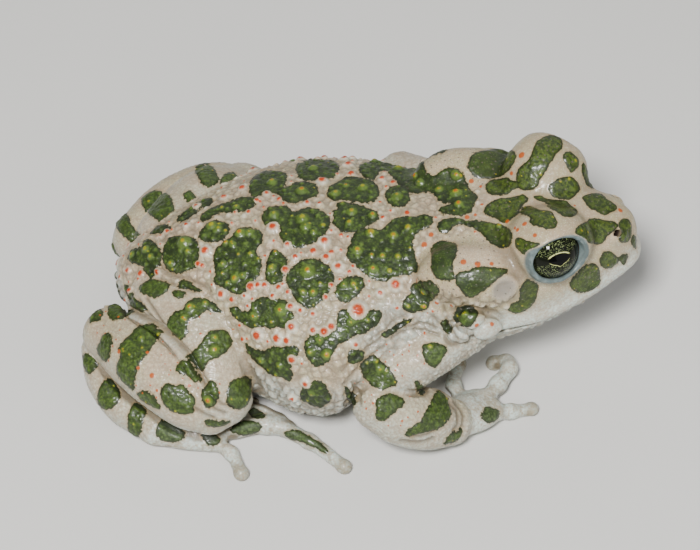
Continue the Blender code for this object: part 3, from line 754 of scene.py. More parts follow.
# %% [markdown]
# ## Green blotches
#
# A green toad wears dark-edged green islands on a pale ground, and no two toads share them. The
# islands on the side that was photographed are outlined here by their corners in the photograph,
# in pixels, grouped by what they lie on. Each point of the skin that the camera sees then gets its
# distance to the nearest outline: positive inside, negative outside. A painted texture would need
# an unwrapped map; distances on the points need none and keep their edges crisp.

# %% Outlines of the blotches, in pixels of the photograph
BLOTCHES = {
    "trunk thigh": (
        (
            470, 160, 474, 154, 484, 151, 500, 149, 508, 149, 514, 152, 516, 157, 513, 164, 509, 170,
            502, 175, 490, 178, 478, 178, 471, 173, 468, 166,
        ),
        (
            541, 139, 549, 136, 558, 137, 562, 142, 561, 149, 556, 154, 553, 159, 549, 164, 547, 169,
            543, 175, 539, 180, 538, 185, 533, 189, 524, 190, 518, 187, 517, 178, 518, 171, 522, 166,
            528, 161, 531, 156, 534, 148, 537, 142,
        ),
        (
            565, 153, 570, 152, 574, 155, 578, 160, 578, 166, 575, 169, 571, 172, 568, 168, 566, 163,
            563, 158,
        ),
        (
            557, 180, 562, 178, 570, 177, 576, 181, 579, 186, 579, 191, 574, 196, 568, 199, 560, 198,
            553, 196, 549, 190, 550, 185,
        ),
        (
            534, 197, 540, 196, 547, 199, 556, 200, 566, 201, 570, 205, 576, 209, 577, 214, 570, 217,
            564, 216, 558, 213, 553, 210, 548, 207, 545, 202, 538, 200,
        ),
        (
            583, 197, 592, 194, 600, 194, 605, 198, 610, 202, 616, 206, 615, 210, 609, 213, 604, 215,
            597, 211, 590, 208, 586, 203,
        ),
        (
            575, 231, 579, 226, 586, 222, 590, 219, 597, 219, 606, 221, 614, 222, 618, 226, 613, 231,
            607, 236, 604, 241, 599, 244, 590, 243, 584, 241, 578, 237,
        ),
        (621, 220, 628, 220, 631, 226, 631, 234, 628, 241, 622, 242, 619, 238, 622, 232, 619, 226),
        (633, 235, 636, 240, 635, 248, 631, 243),
        (583, 163, 586, 168, 588, 176, 592, 182, 599, 188, 594, 188, 588, 185, 584, 178, 582, 170),
        (
            484, 212, 487, 206, 492, 202, 500, 199, 510, 198, 518, 196, 523, 195, 528, 198, 527, 201,
            522, 205, 520, 209, 517, 215, 512, 218, 508, 222, 503, 223, 498, 219, 492, 217, 487, 215,
        ),
        (
            487, 184, 492, 180, 500, 179, 508, 178, 512, 181, 518, 182, 518, 187, 512, 190, 508, 194,
            500, 195, 491, 194, 486, 190,
        ),
        (
            521, 211, 526, 206, 533, 207, 539, 210, 546, 211, 551, 212, 554, 217, 557, 222, 555, 227,
            549, 229, 541, 227, 534, 225, 530, 222, 531, 218, 526, 215, 521, 214,
        ),
        (
            438, 227, 441, 222, 448, 219, 456, 219, 466, 221, 475, 221, 485, 222, 495, 224, 505, 227,
            511, 231, 512, 238, 510, 244, 505, 247, 498, 246, 490, 242, 485, 237, 480, 231, 475, 229,
            468, 226, 462, 224, 454, 226, 448, 231, 441, 232,
        ),
        (
            436, 243, 442, 241, 450, 242, 456, 244, 457, 250, 455, 257, 453, 263, 452, 270, 455, 276,
            452, 280, 445, 280, 438, 278, 433, 273, 431, 266, 432, 257, 431, 250, 433, 246,
        ),
        (
            455, 277, 460, 272, 468, 271, 475, 268, 485, 267, 495, 268, 505, 269, 508, 270, 506, 273,
            501, 276, 495, 281, 488, 287, 480, 293, 473, 297, 467, 296, 462, 291, 457, 284,
        ),
        (
            516, 240, 520, 238, 527, 241, 535, 243, 540, 244, 535, 247, 529, 251, 524, 254, 519, 250,
            516, 246,
        ),
        (
            570, 284, 572, 278, 577, 272, 582, 266, 588, 264, 594, 264, 598, 267, 599, 273, 600, 280,
            598, 285, 592, 289, 585, 292, 578, 292, 572, 289,
        ),
        (
            600, 258, 603, 253, 608, 251, 613, 254, 617, 258, 618, 262, 613, 266, 607, 268, 602, 266,
            600, 262,
        ),
        (618, 259, 622, 255, 627, 254, 627, 259, 624, 264, 621, 262),
        (
            522, 285, 527, 280, 533, 282, 538, 285, 537, 292, 535, 300, 531, 306, 525, 310, 518, 313,
            510, 311, 508, 307, 513, 303, 519, 301, 520, 295, 520, 289,
        ),
        (
            455, 314, 458, 309, 465, 307, 473, 308, 478, 311, 476, 318, 472, 324, 465, 326, 458, 323,
            454, 319,
        ),
        (441, 322, 446, 321, 450, 327, 449, 334, 444, 330),
        (
            359, 168, 363, 164, 370, 162, 378, 161, 386, 158, 393, 160, 400, 163, 405, 163, 410, 160,
            411, 153, 420, 150, 435, 149, 447, 150, 440, 153, 432, 156, 424, 160, 424, 166, 427, 172,
            434, 176, 440, 172, 446, 169, 451, 168, 458, 170, 463, 174, 465, 180, 468, 186, 472, 192,
            477, 197, 475, 202, 473, 208, 470, 213, 462, 216, 452, 215, 443, 214, 440, 211, 441, 208,
            447, 206, 452, 204, 445, 203, 440, 202, 436, 197, 432, 193, 425, 192, 415, 193, 410, 191,
            407, 187, 403, 186, 398, 184, 396, 180, 391, 176, 386, 172, 380, 173, 376, 177, 372, 180,
            366, 178, 361, 174,
        ),
        (
            386, 192, 390, 188, 396, 186, 402, 186, 407, 189, 410, 195, 408, 202, 403, 206, 397, 207,
            391, 205, 387, 200, 385, 196,
        ),
        (
            347, 252, 350, 245, 353, 238, 356, 232, 362, 230, 370, 229, 378, 230, 385, 228, 390, 222,
            396, 219, 405, 217, 415, 217, 423, 215, 430, 216, 433, 220, 431, 225, 425, 228, 420, 231,
            415, 235, 413, 241, 413, 248, 415, 256, 417, 264, 417, 270, 410, 274, 402, 275, 396, 277,
            388, 281, 380, 281, 373, 279, 367, 275, 362, 271, 357, 267, 351, 262, 348, 258,
        ),
        (
            411, 287, 416, 283, 424, 281, 432, 282, 438, 286, 439, 291, 435, 297, 430, 302, 427, 308,
            420, 311, 411, 312, 404, 309, 402, 303, 407, 297, 411, 293,
        ),
        (
            296, 169, 298, 164, 304, 161, 312, 160, 320, 160, 330, 160, 337, 163, 339, 168, 337, 174,
            334, 178, 326, 179, 316, 180, 308, 181, 300, 178, 297, 174,
        ),
        (
            250, 184, 255, 177, 263, 172, 275, 171, 285, 173, 287, 178, 285, 185, 283, 190, 283, 197,
            277, 194, 268, 193, 262, 194, 256, 197, 251, 196,
        ),
        (
            281, 189, 288, 187, 297, 183, 306, 182, 314, 184, 318, 190, 317, 195, 309, 198, 301, 201,
            293, 203, 286, 202, 282, 197,
        ),
        (
            264, 224, 262, 217, 266, 211, 270, 208, 278, 207, 285, 207, 290, 209, 292, 212, 298, 211,
            305, 209, 312, 209, 320, 210, 326, 214, 330, 219, 330, 225, 326, 232, 322, 238, 316, 242,
            310, 245, 303, 247, 297, 248, 292, 246, 287, 244, 283, 240, 280, 235, 281, 229, 279, 226,
            273, 224, 268, 225,
        ),
        (
            328, 192, 330, 187, 336, 184, 342, 180, 350, 178, 358, 178, 366, 180, 372, 181, 377, 186,
            379, 192, 378, 197, 374, 201, 367, 203, 360, 202, 352, 201, 344, 200, 336, 201, 330, 199,
            327, 196,
        ),
        (
            333, 212, 338, 209, 337, 205, 343, 203, 350, 204, 358, 205, 364, 207, 371, 210, 377, 213,
            379, 218, 376, 222, 370, 224, 365, 228, 359, 232, 352, 232, 345, 232, 340, 230, 336, 226,
            333, 222, 334, 217,
        ),
        (
            270, 256, 272, 251, 276, 250, 280, 253, 284, 256, 287, 260, 286, 267, 285, 274, 283, 279,
            279, 284, 273, 285, 268, 282, 266, 276, 267, 268, 267, 262,
        ),
        (
            291, 270, 296, 265, 302, 261, 309, 259, 318, 260, 324, 264, 329, 267, 332, 273, 334, 280,
            331, 287, 328, 293, 323, 299, 317, 305, 310, 308, 303, 306, 297, 301, 293, 295, 289, 288,
            287, 281, 287, 275,
        ),
        (
            340, 283, 345, 278, 352, 277, 358, 277, 363, 280, 364, 287, 360, 292, 356, 297, 351, 300,
            345, 303, 339, 299, 335, 294, 336, 288,
        ),
        (
            252, 303, 258, 299, 266, 298, 275, 299, 284, 300, 290, 306, 292, 312, 294, 318, 290, 323,
            286, 328, 278, 327, 270, 328, 264, 326, 258, 327, 253, 329, 247, 326, 241, 322, 234, 316,
            230, 309, 236, 307, 243, 311, 250, 310,
        ),
        (
            305, 343, 308, 338, 312, 334, 318, 332, 324, 335, 330, 334, 336, 330, 337, 323, 338, 316,
            340, 311, 346, 310, 351, 314, 358, 317, 364, 314, 370, 311, 376, 310, 381, 312, 381, 318,
            377, 323, 372, 328, 366, 332, 360, 334, 354, 335, 348, 340, 341, 343, 335, 348, 332, 355,
            328, 361, 322, 365, 316, 366, 311, 362, 307, 356, 305, 349,
        ),
        (
            246, 344, 251, 348, 258, 350, 264, 352, 268, 349, 275, 347, 283, 347, 290, 346, 296, 347,
            299, 351, 296, 356, 292, 361, 291, 368, 292, 375, 289, 381, 283, 378, 277, 376, 270, 374,
            264, 369, 258, 364, 253, 358, 248, 352,
        ),
        (
            301, 393, 303, 387, 309, 383, 315, 381, 322, 382, 326, 386, 328, 391, 331, 397, 327, 403,
            320, 406, 310, 403, 302, 400,
        ),
        (348, 355, 352, 350, 358, 349, 363, 352, 364, 357, 360, 361, 355, 364, 350, 363, 348, 359),
        (382, 334, 390, 330, 397, 325, 404, 320, 412, 319, 408, 324, 400, 328, 393, 333, 386, 338),
        (
            165, 246, 168, 240, 174, 237, 182, 236, 190, 237, 196, 241, 199, 247, 199, 256, 198, 263,
            194, 268, 186, 271, 178, 273, 170, 271, 165, 265, 163, 256,
        ),
        (
            141, 248, 144, 242, 149, 240, 155, 243, 160, 249, 162, 256, 160, 263, 158, 268, 156, 273,
            151, 278, 146, 272, 142, 266, 136, 264, 131, 262, 128, 258, 131, 252, 136, 249,
        ),
        (
            140, 287, 146, 282, 153, 280, 160, 281, 167, 282, 170, 286, 166, 292, 160, 296, 152, 297,
            146, 294, 141, 292,
        ),
        (
            199, 236, 203, 228, 208, 223, 214, 221, 222, 222, 228, 225, 229, 230, 226, 236, 222, 241,
            215, 242, 208, 241, 202, 240,
        ),
        (
            200, 217, 205, 212, 212, 208, 220, 205, 228, 203, 236, 200, 244, 198, 251, 198, 257, 200,
            255, 205, 250, 209, 243, 212, 236, 212, 228, 213, 220, 213, 214, 216, 208, 219, 202, 220,
        ),
        (
            233, 236, 238, 230, 246, 228, 254, 229, 261, 232, 262, 239, 259, 246, 256, 250, 257, 254,
            261, 260, 261, 268, 259, 275, 254, 281, 249, 286, 246, 292, 240, 294, 233, 293, 226, 289,
            219, 285, 214, 281, 216, 274, 215, 266, 214, 258, 216, 250, 221, 245, 227, 240,
        ),
        (
            176, 220, 182, 214, 190, 208, 198, 203, 206, 199, 213, 200, 207, 204, 199, 208, 192, 214,
            185, 219,
        ),
        (150, 234, 156, 228, 163, 225, 170, 226, 165, 230, 157, 233),
        (178, 285, 184, 280, 190, 283, 197, 288, 203, 291, 196, 291, 188, 288, 180, 289),
        (173, 292, 180, 291, 186, 294, 182, 298, 175, 297),
        (126, 285, 132, 290, 134, 297, 140, 303, 146, 309, 138, 312, 131, 306, 127, 296),
    ),
    "shank_left thigh_left": (
        (
            142, 200, 147, 194, 155, 191, 164, 193, 170, 197, 173, 203, 174, 211, 173, 218, 168, 221,
            161, 222, 155, 218, 149, 214, 144, 208,
        ),
        (
            118, 214, 124, 212, 128, 216, 130, 222, 134, 228, 140, 234, 146, 239, 143, 245, 137, 248,
            131, 242, 124, 236, 118, 229, 115, 221,
        ),
        (185, 193, 190, 191, 194, 195, 196, 199, 193, 203, 187, 201, 184, 197),
        (
            195, 170, 200, 165, 208, 164, 213, 168, 216, 174, 218, 181, 213, 186, 206, 187, 202, 184,
            199, 178,
        ),
        (
            222, 178, 227, 174, 233, 173, 238, 178, 238, 184, 235, 190, 232, 194, 227, 191, 222, 188,
            220, 183,
        ),
    ),
    "thigh_right shank_right trunk": (
        (
            167, 326, 170, 318, 176, 312, 183, 309, 187, 303, 195, 299, 205, 299, 213, 303, 219, 308,
            222, 312, 213, 311, 205, 311, 198, 317, 190, 320, 187, 325, 188, 331, 184, 338, 179, 341,
            173, 337, 168, 332,
        ),
        (
            206, 336, 210, 331, 217, 330, 224, 330, 229, 334, 232, 340, 231, 346, 226, 351, 220, 356,
            212, 359, 207, 362, 205, 367, 200, 371, 195, 366, 190, 361, 187, 355, 194, 351, 200, 345,
            203, 340,
        ),
        (
            229, 385, 233, 381, 240, 378, 247, 377, 252, 380, 252, 388, 250, 396, 247, 403, 242, 408,
            234, 409, 228, 404, 227, 395,
        ),
        (
            203, 391, 206, 385, 209, 381, 215, 383, 217, 387, 219, 393, 218, 399, 214, 405, 209, 409,
            204, 404, 202, 398,
        ),
        (205, 421, 212, 421, 222, 421, 230, 421, 226, 425, 215, 427, 207, 425),
    ),
    "shank_right thigh_right tarsus_right": (
        (
            119, 348, 124, 341, 131, 335, 138, 329, 144, 325, 151, 324, 157, 328, 163, 333, 160, 338,
            155, 343, 150, 349, 146, 356, 141, 362, 137, 369, 135, 377, 134, 385, 133, 390, 128, 386,
            122, 380, 118, 374, 117, 367, 119, 360, 121, 354,
        ),
        (
            161, 394, 163, 387, 168, 384, 175, 386, 182, 385, 187, 390, 190, 394, 195, 399, 194, 406,
            193, 412, 186, 414, 178, 413, 172, 411, 166, 406, 162, 400,
        ),
        (
            176, 370, 180, 363, 185, 360, 190, 361, 192, 366, 196, 372, 201, 379, 198, 382, 192, 379,
            186, 376, 180, 374,
        ),
        (138, 394, 144, 391, 151, 393, 155, 398, 159, 404, 160, 409, 154, 407, 147, 403, 141, 399),
        (109, 311, 113, 308, 120, 307, 127, 309, 131, 313, 127, 318, 120, 321, 113, 321, 109, 317),
        (102, 338, 106, 334, 111, 335, 112, 341, 111, 349, 109, 357, 105, 361, 100, 356, 97, 349, 100, 343),
        (90, 318, 95, 312, 100, 310, 103, 313, 100, 319, 94, 322, 90, 323),
    ),
    "tarsus_right foot_right": (
        (85, 354, 92, 354, 98, 358, 97, 364, 94, 370, 88, 373, 84, 366, 83, 359),
        (
            100, 388, 104, 382, 109, 378, 115, 382, 119, 389, 120, 396, 117, 403, 112, 408, 105, 409,
            99, 404, 98, 396,
        ),
        (
            130, 411, 133, 404, 139, 402, 145, 407, 146, 413, 143, 420, 142, 427, 140, 434, 135, 440,
            130, 434, 128, 426, 128, 418,
        ),
        (
            160, 420, 167, 418, 176, 421, 184, 424, 185, 431, 183, 438, 176, 442, 166, 441, 159, 438,
            156, 432, 158, 425,
        ),
        (201, 433, 206, 431, 213, 433, 219, 437, 220, 442, 215, 445, 209, 445, 204, 440),
        (
            231, 428, 234, 424, 240, 421, 248, 421, 255, 422, 261, 425, 260, 430, 254, 433, 246, 435,
            238, 434, 232, 432,
        ),
        (248, 410, 253, 408, 260, 411, 265, 415, 262, 418, 253, 417),
        (
            285, 432, 291, 430, 298, 431, 305, 434, 311, 438, 320, 443, 327, 450, 326, 453, 318, 449,
            309, 445, 300, 441, 291, 439, 286, 436,
        ),
    ),
    "upper_arm_right forearm_right trunk": (
        (
            361, 366, 366, 361, 372, 356, 377, 357, 381, 361, 387, 366, 392, 372, 396, 379, 396, 384,
            390, 387, 382, 390, 374, 387, 368, 381, 363, 375,
        ),
        (
            377, 400, 383, 396, 390, 394, 398, 396, 404, 401, 402, 406, 396, 410, 391, 415, 385, 420,
            379, 420, 375, 415, 377, 409, 376, 404,
        ),
        (
            431, 401, 434, 396, 438, 391, 443, 395, 448, 400, 450, 406, 451, 413, 449, 419, 443, 425,
            436, 430, 427, 432, 418, 434, 410, 437, 405, 434, 409, 429, 415, 425, 421, 421, 424, 414,
            428, 408,
        ),
        (415, 381, 419, 382, 424, 387, 425, 392, 421, 394, 417, 389),
        (
            424, 345, 430, 343, 437, 344, 443, 345, 447, 350, 443, 356, 440, 362, 435, 367, 429, 365,
            425, 359, 423, 352,
        ),
        (447, 438, 452, 434, 458, 431, 463, 429, 461, 435, 456, 440, 449, 443, 444, 444),
        (346, 388, 351, 392, 355, 400, 354, 406, 349, 402, 346, 395),
    ),
    "hand_right": (
        (483, 411, 487, 407, 493, 409, 498, 411, 498, 417, 493, 422, 487, 422, 482, 418),
    ),
}
print("blotch outlines:", sum(len(outlines) for outlines in BLOTCHES.values()))


# %% Distance of every seen point to the outlines
def rounded(outline):
    """A smooth closed curve through the outline's corners."""
    corners = np.array(outline, float).reshape(-1, 2)
    rows = np.concatenate([corners[-2:], corners, corners[:3]])
    return through(rows, np.arange(2, len(corners) + 2, 0.25))


def gap_to_line(corners, x, y):
    """Pixels to the nearest stretch of a line through these corners."""
    gap = np.full(len(x), np.inf)
    for (ax, ay), (bx, by) in zip(corners[:-1], corners[1:]):
        run, rise = bx - ax, by - ay
        t = np.clip(((x - ax) * run + (y - ay) * rise) / (run * run + rise * rise), 0, 1)
        gap = np.minimum(gap, np.hypot(x - ax - t * run, y - ay - t * rise))
    return gap


def inside_distance(corners, x, y):
    """Pixels to an outline: positive inside it, negative outside."""
    corners = np.concatenate([corners, corners[:1]])
    crossings = np.zeros(len(x), int)
    for (ax, ay), (bx, by) in zip(corners[:-1], corners[1:]):
        if ay != by:
            crossings += ((ay > y) != (by > y)) & (x < ax + (y - ay) * (bx - ax) / (by - ay))
    return gap_to_line(corners, x, y) * np.where(crossings % 2 == 1, 1, -1)


FAR = 3.0
GROWN = 0.1
green = np.full(len(skin_points), -FAR)
for zone, outlines in BLOTCHES.items():
    allowed = np.flatnonzero(seen & owned_by(*zone.split()))
    for outline in outlines:
        xs, ys = np.array(outline[0::2]), np.array(outline[1::2])
        reach = FAR * PIXELS_PER_MM
        close = (across[allowed] > xs.min() - reach) & (across[allowed] < xs.max() + reach)
        close &= (down[allowed] > ys.min() - reach) & (down[allowed] < ys.max() + reach)
        those = allowed[close]
        value = inside_distance(rounded(outline), across[those], down[those]) / PIXELS_PER_MM
        green[those] = np.maximum(green[those], value + GROWN)
print("share of the seen skin that is green:", round(float((green[seen] > 0).mean()), 2))

# %% [markdown]
# The side that the camera doesn't see must look as natural. A blotch that reaches the edge of what
# is seen is carried round the edge until it has rounded off, and the rest of that side gets its own
# islands: each is two or three overlapping balls of green at places drawn with a fixed seed.

# %% Carry the blotches round the edge of what is seen
EDGE_FADE = 1.1
zones_of_forms = {"trunk": 1, "upper_arm_left": 2, "forearm_left": 2, "thigh_left": 3, "shank_left": 3}
form_zone = np.array([zones_of_forms.get(name, 10 + i) for i, name in enumerate(form_names)])
skin_zone = form_zone[skin_forms]
unseen = np.flatnonzero(~seen)
gap_to_seen = np.full(len(skin_points), 0.0)
gap_to_seen[unseen] = 99.0
for zone in np.unique(skin_zone):
    known = np.flatnonzero(seen & (skin_zone == zone))
    asked = unseen[skin_zone[unseen] == zone]
    if not len(known) or not len(asked):
        continue
    tree = kdtree.KDTree(len(known))
    for i in known:
        tree.insert(skin_points[i], int(i))
    tree.balance()
    for i in asked:
        place, index, gap = tree.find(skin_points[i])
        gap_to_seen[i] = gap
        green[i] = max(green[index] - gap * EDGE_FADE, -FAR)
print("share of the unseen skin that is green so far:", round(float((green[unseen] > 0).mean()), 2))

# %% Islands of the unseen side
SEEN_MARGIN = 1.6
HEAD_START = 25.5
LIP_BAND = 4.0
BlotchRule = namedtuple("BlotchRule", "forms least most spacing lowest")
BLOTCH_RULES = (
    BlotchRule(("trunk",), 1.9, 4.0, 1.3, -0.25),
    BlotchRule(("thigh", "shank"), 1.5, 2.7, 1.5, -0.45),
    BlotchRule(("upper_arm", "forearm"), 1.4, 2.4, 1.6, -0.45),
    BlotchRule(("tarsus", "foot", "hand"), 0.9, 1.7, 2.4, 0.1),
)
on_head = owned_by("trunk") & (skin_points[:, 0] > HEAD_START)
lip_height = skin_points[:, 2] - np.interp(skin_points[:, 0] + BELLY_X, *zip(*MOUTH))
near_lips = on_head & (lip_height < LIP_BAND)
draw = random.Random(11)
made = []
for rule in BLOTCH_RULES:
    usable = owned_by(*rule.forms) & (gap_to_seen > SEEN_MARGIN) & (outward[:, 2] > rule.lowest)
    usable &= (skin_points[:, 2] > 1.2) & ~near_lips
    for i in scatter(np.flatnonzero(usable), rule.least * 1.5, 21):
        radius = draw.uniform(rule.least, rule.most)
        place = Vector(skin_points[i])
        if any((place - other).length < radius + reach + rule.spacing for other, reach in made):
            radius = rule.least
            if any((place - other).length < radius + reach + rule.spacing for other, reach in made):
                continue
        if green[near(place, radius + rule.spacing)[0]].max() > -0.2:
            continue
        made.append((place, radius))
        lobes = [(place, radius)]
        for _ in range(draw.randint(1, 2)):
            step = Vector([draw.gauss(0, 1) for _ in range(3)]).cross(Vector(outward[i])).normalized()
            lobes.append((place + step * radius * 0.75, radius * draw.uniform(0.6, 0.85)))
        for middle, reach in lobes:
            those, gap = near(middle, reach + FAR)
            green[those] = np.maximum(green[those], reach - gap)
print("blotches on the unseen side:", len(made))

# %% [markdown]
# ## Warts
#
# Red-tipped warts stand in rows on the pale flank, each a pale dome with a small ring of red round
# its pore. The green islands carry bigger glossy domes whose tips turn yellow or orange. The most
# visible ones are placed from the photograph; a scatter with a fixed seed adds the others.

# %% Warts placed from the photograph: pixel across and down, radius of the dome and of its tip in pixels
RED_WARTS = (
    (258, 335, 10, 4), (278, 338, 9, 3.5), (287, 340, 7, 3), (293, 327, 9, 3), (313, 330, 7, 2.5),
    (324, 331, 8, 3.5), (332, 327, 7, 3), (358, 310, 13, 5.5), (396, 285, 10, 4), (380, 293, 7, 2),
    (306, 382, 8, 2.5), (293, 359, 7, 3), (293, 396, 8, 2), (355, 344, 7, 2), (397, 308, 4, 1.5),
    (313, 314, 6, 2), (301, 311, 6, 2), (291, 307, 6, 2.5), (273, 296, 6, 2), (279, 288, 6, 2.5),
    (258, 285, 6, 2.5), (265, 286, 6, 2.5), (251, 287, 7, 3.5), (332, 286, 5, 2), (326, 297, 5, 2),
    (288, 292, 5, 2), (283, 284, 4, 1.5), (248, 306, 5, 1.5), (253, 299, 4, 1.5), (245, 296, 5, 1.5),
    (243, 339, 5, 2), (268, 341, 4, 1.5), (240, 325, 4, 1.5), (273, 228, 9, 3.5), (324, 242, 9, 3.5),
    (313, 252, 6, 3), (326, 258, 7, 3), (332, 252, 5, 2.5), (339, 268, 9, 3), (349, 273, 5, 2),
    (353, 267, 4, 1.5), (340, 280, 4, 1.5), (296, 258, 7, 2.5), (287, 246, 6, 2), (286, 270, 6, 3),
    (322, 182, 9, 3.5), (348, 166, 8, 3.5), (351, 175, 7, 3.5), (345, 158, 8, 3), (338, 175, 4, 1.5),
    (319, 204, 5, 2), (307, 204, 6, 2), (382, 180, 6, 2.5), (393, 183, 5, 2.5), (384, 173, 4, 1.5),
    (386, 188, 4, 1.5), (383, 218, 5, 2), (390, 211, 4, 1.5), (407, 214, 5, 2.5), (341, 236, 4, 2),
    (348, 237, 4, 1.5), (331, 231, 4, 1.5), (341, 251, 4, 1.5), (301, 254, 3, 1), (318, 158, 6, 2),
    (377, 157, 5, 2), (352, 162, 4, 2), (274, 241, 4, 1.5), (267, 195, 6, 2), (274, 197, 4, 1.5),
    (279, 200, 4, 2), (264, 208, 3, 1.5), (292, 177, 4, 1.5), (292, 183, 4, 1.5), (206, 251, 9, 3.5),
    (199, 264, 5, 2.5), (203, 266, 4, 2), (197, 207, 7, 2.5), (187, 226, 6, 2), (168, 231, 5, 2),
    (157, 237, 5, 2), (199, 224, 4, 1.5), (224, 198, 7, 3), (243, 190, 7, 3), (257, 202, 5, 2),
    (249, 213, 5, 2), (236, 214, 4, 1.5), (233, 224, 4, 1.5), (222, 294, 8, 3), (233, 299, 5, 2.5),
    (158, 272, 6, 2.5), (130, 270, 6, 2.5), (142, 273, 6, 3), (121, 277, 5, 2), (132, 291, 7, 3),
    (130, 282, 4, 1.5),
)
PALE_WARTS = (
    (487, 294, 4, 1), (483, 305, 5, 1), (493, 304, 6, 1), (477, 303, 5, 1), (506, 306, 6, 1),
    (471, 302, 5, 1), (500, 328, 5, 1), (507, 330, 4, 1), (465, 300, 4, 1), (515, 303, 4, 1),
)
ORANGE_SPOTS = (
    (437, 302, 9, 2.5), (451, 306, 5, 2), (428, 314, 6, 1), (471, 181, 5, 3), (481, 187, 4, 2),
    (467, 217, 4, 3), (476, 215, 4, 2), (482, 205, 3, 2), (431, 235, 4, 3), (424, 245, 5, 3.5),
    (418, 281, 5, 3), (463, 262, 4, 3.5), (478, 264, 4, 3.5), (492, 264, 3, 2.5), (508, 222, 4, 2.5),
    (515, 228, 4, 2), (518, 230, 3, 2.5), (525, 224, 5, 3), (521, 155, 4, 4), (512, 173, 3, 2.5),
    (620, 210, 4, 3), (575, 205, 3, 1.5), (535, 235, 4, 2.5), (477, 325, 5, 2.5), (492, 324, 5, 2.5),
    (552, 251, 3, 1),
    (152, 376, 4, 3), (119, 352, 4, 2.6), (139, 368, 3, 2.2), (148, 353, 3, 1.9), (164, 343, 3, 1.8),
    (189, 386, 3, 1.9), (157, 390, 3, 1.8), (109, 361, 3, 1.7), (116, 340, 3, 1.5), (136, 385, 3, 1.4),
    (169, 355, 2, 1.2), (177, 355, 2, 1), (161, 355, 2, 1), (165, 364, 2, 1.2), (177, 364, 2, 1.2),
    (171, 371, 2, 0.8), (169, 375, 2, 1), (182, 379, 2, 0.8), (191, 380, 2, 1), (199, 388, 2, 0.8),
    (150, 385, 2, 0.9), (157, 397, 2, 1), (143, 392, 2, 1.3), (200, 334, 3, 1.6), (211, 314, 2, 1),
    (199, 318, 2, 0.8), (190, 323, 2, 1), (233, 330, 2, 0.8), (220, 385, 2, 1), (220, 392, 2, 1),
    (119, 320, 3, 1.5), (129, 319, 2, 1), (126, 323, 2, 1), (136, 320, 2, 1.2), (141, 322, 2, 1.2),
    (120, 330, 2, 1), (104, 326, 2, 1.2), (100, 316, 2, 1), (107, 315, 2, 0.9), (105, 333, 2, 1.1),
    (97, 333, 2, 1.2), (113, 346, 2, 1), (387, 345, 2, 1.2), (378, 351, 2, 1.2), (390, 351, 2, 1.2),
    (394, 355, 2, 1.2), (398, 365, 3, 1.5), (402, 376, 2, 1.2), (409, 345, 2, 1.2), (409, 351, 2, 1.2),
    (402, 355, 2, 1), (418, 356, 3, 1.5), (381, 355, 2, 1), (386, 362, 2, 1), (395, 370, 2, 1.3),
    (424, 363, 2, 1.2), (373, 403, 3, 1.6), (366, 409, 2, 1.4), (365, 402, 2, 1.2), (355, 384, 2, 1.3),
    (402, 421, 3, 1.6), (408, 417, 2, 1.2), (411, 396, 2, 1.1), (418, 412, 2, 1.4), (388, 426, 2, 1.3),
    (400, 426, 2, 1.2), (363, 383, 2, 1), (371, 395, 2, 1),
)
GREEN_DOMES = (
    (308, 272, 9, 2.5), (281, 310, 8, 2), (255, 316, 6, 1.5), (304, 293, 5, 1.5), (313, 293, 6, 2),
    (372, 233, 7, 3), (393, 236, 6, 2.5), (408, 228, 5, 2.5), (358, 251, 7, 2.5), (383, 257, 5, 2),
    (372, 256, 4, 1.5), (373, 269, 6, 2), (390, 271, 4, 2), (398, 257, 5, 2), (354, 285, 5, 2),
    (344, 285, 5, 1), (424, 291, 6, 2.5), (408, 306, 4, 1.5), (424, 306, 4, 2), (303, 219, 8, 2.5),
    (306, 227, 7, 1), (324, 226, 4, 2), (314, 233, 5, 1), (275, 216, 7, 1.5), (302, 192, 8, 2.5),
    (272, 183, 7, 2), (313, 170, 7, 1.5), (336, 195, 7, 2), (363, 188, 7, 2), (346, 187, 5, 1.5),
    (352, 213, 7, 2), (373, 216, 6, 2), (350, 223, 5, 2), (343, 204, 4, 1), (397, 197, 8, 1.5),
    (374, 163, 6, 2), (398, 170, 7, 3), (416, 176, 5, 2.5), (420, 183, 6, 1), (439, 190, 6, 2),
    (456, 194, 8, 3), (457, 175, 7, 2), (459, 205, 6, 2.5), (185, 243, 9, 2), (188, 252, 5, 1.5),
    (172, 263, 5, 1.5), (147, 250, 6, 2), (152, 257, 5, 1.5), (133, 255, 5, 1.5), (212, 226, 7, 2.5),
    (219, 229, 5, 1.5), (240, 234, 7, 2.5), (249, 233, 6, 1), (226, 243, 4, 2), (233, 245, 5, 1),
    (224, 264, 5, 1), (236, 279, 6, 2.5), (243, 276, 5, 1), (251, 254, 4, 1.5), (228, 283, 4, 1),
    (237, 208, 5, 1.5), (222, 209, 4, 1.5), (272, 268, 6, 2), (276, 252, 4, 1.5), (311, 352, 5, 1.5),
    (327, 354, 7, 2.5), (320, 340, 5, 1), (350, 322, 5, 1), (368, 320, 4, 1), (190, 308, 6, 2),
    (206, 304, 5, 1.5), (184, 318, 5, 1.5), (214, 338, 5, 1.5), (214, 350, 6, 2), (209, 400, 6, 2.5),
    (141, 340, 5, 1), (375, 360, 5, 1.5), (380, 368, 6, 1.5), (430, 347, 4, 1.5), (500, 226, 5, 2),
    (465, 314, 5, 1.5), (262, 360, 5, 1), (280, 365, 5, 1), (312, 393, 5, 1),
)
print("placed warts:", len(RED_WARTS), "orange spots:", len(ORANGE_SPOTS), "domes:", len(GREEN_DOMES))

# %% Where they stand on the skin
Wart = namedtuple("Wart", "point radius height tip colour")
seen_points = np.flatnonzero(seen)


def skin_under(px, py):
    """The skin's point that shows nearest to this pixel."""
    miss = (across[seen_points] - px) ** 2 + (down[seen_points] - py) ** 2
    return int(seen_points[miss.argmin()])


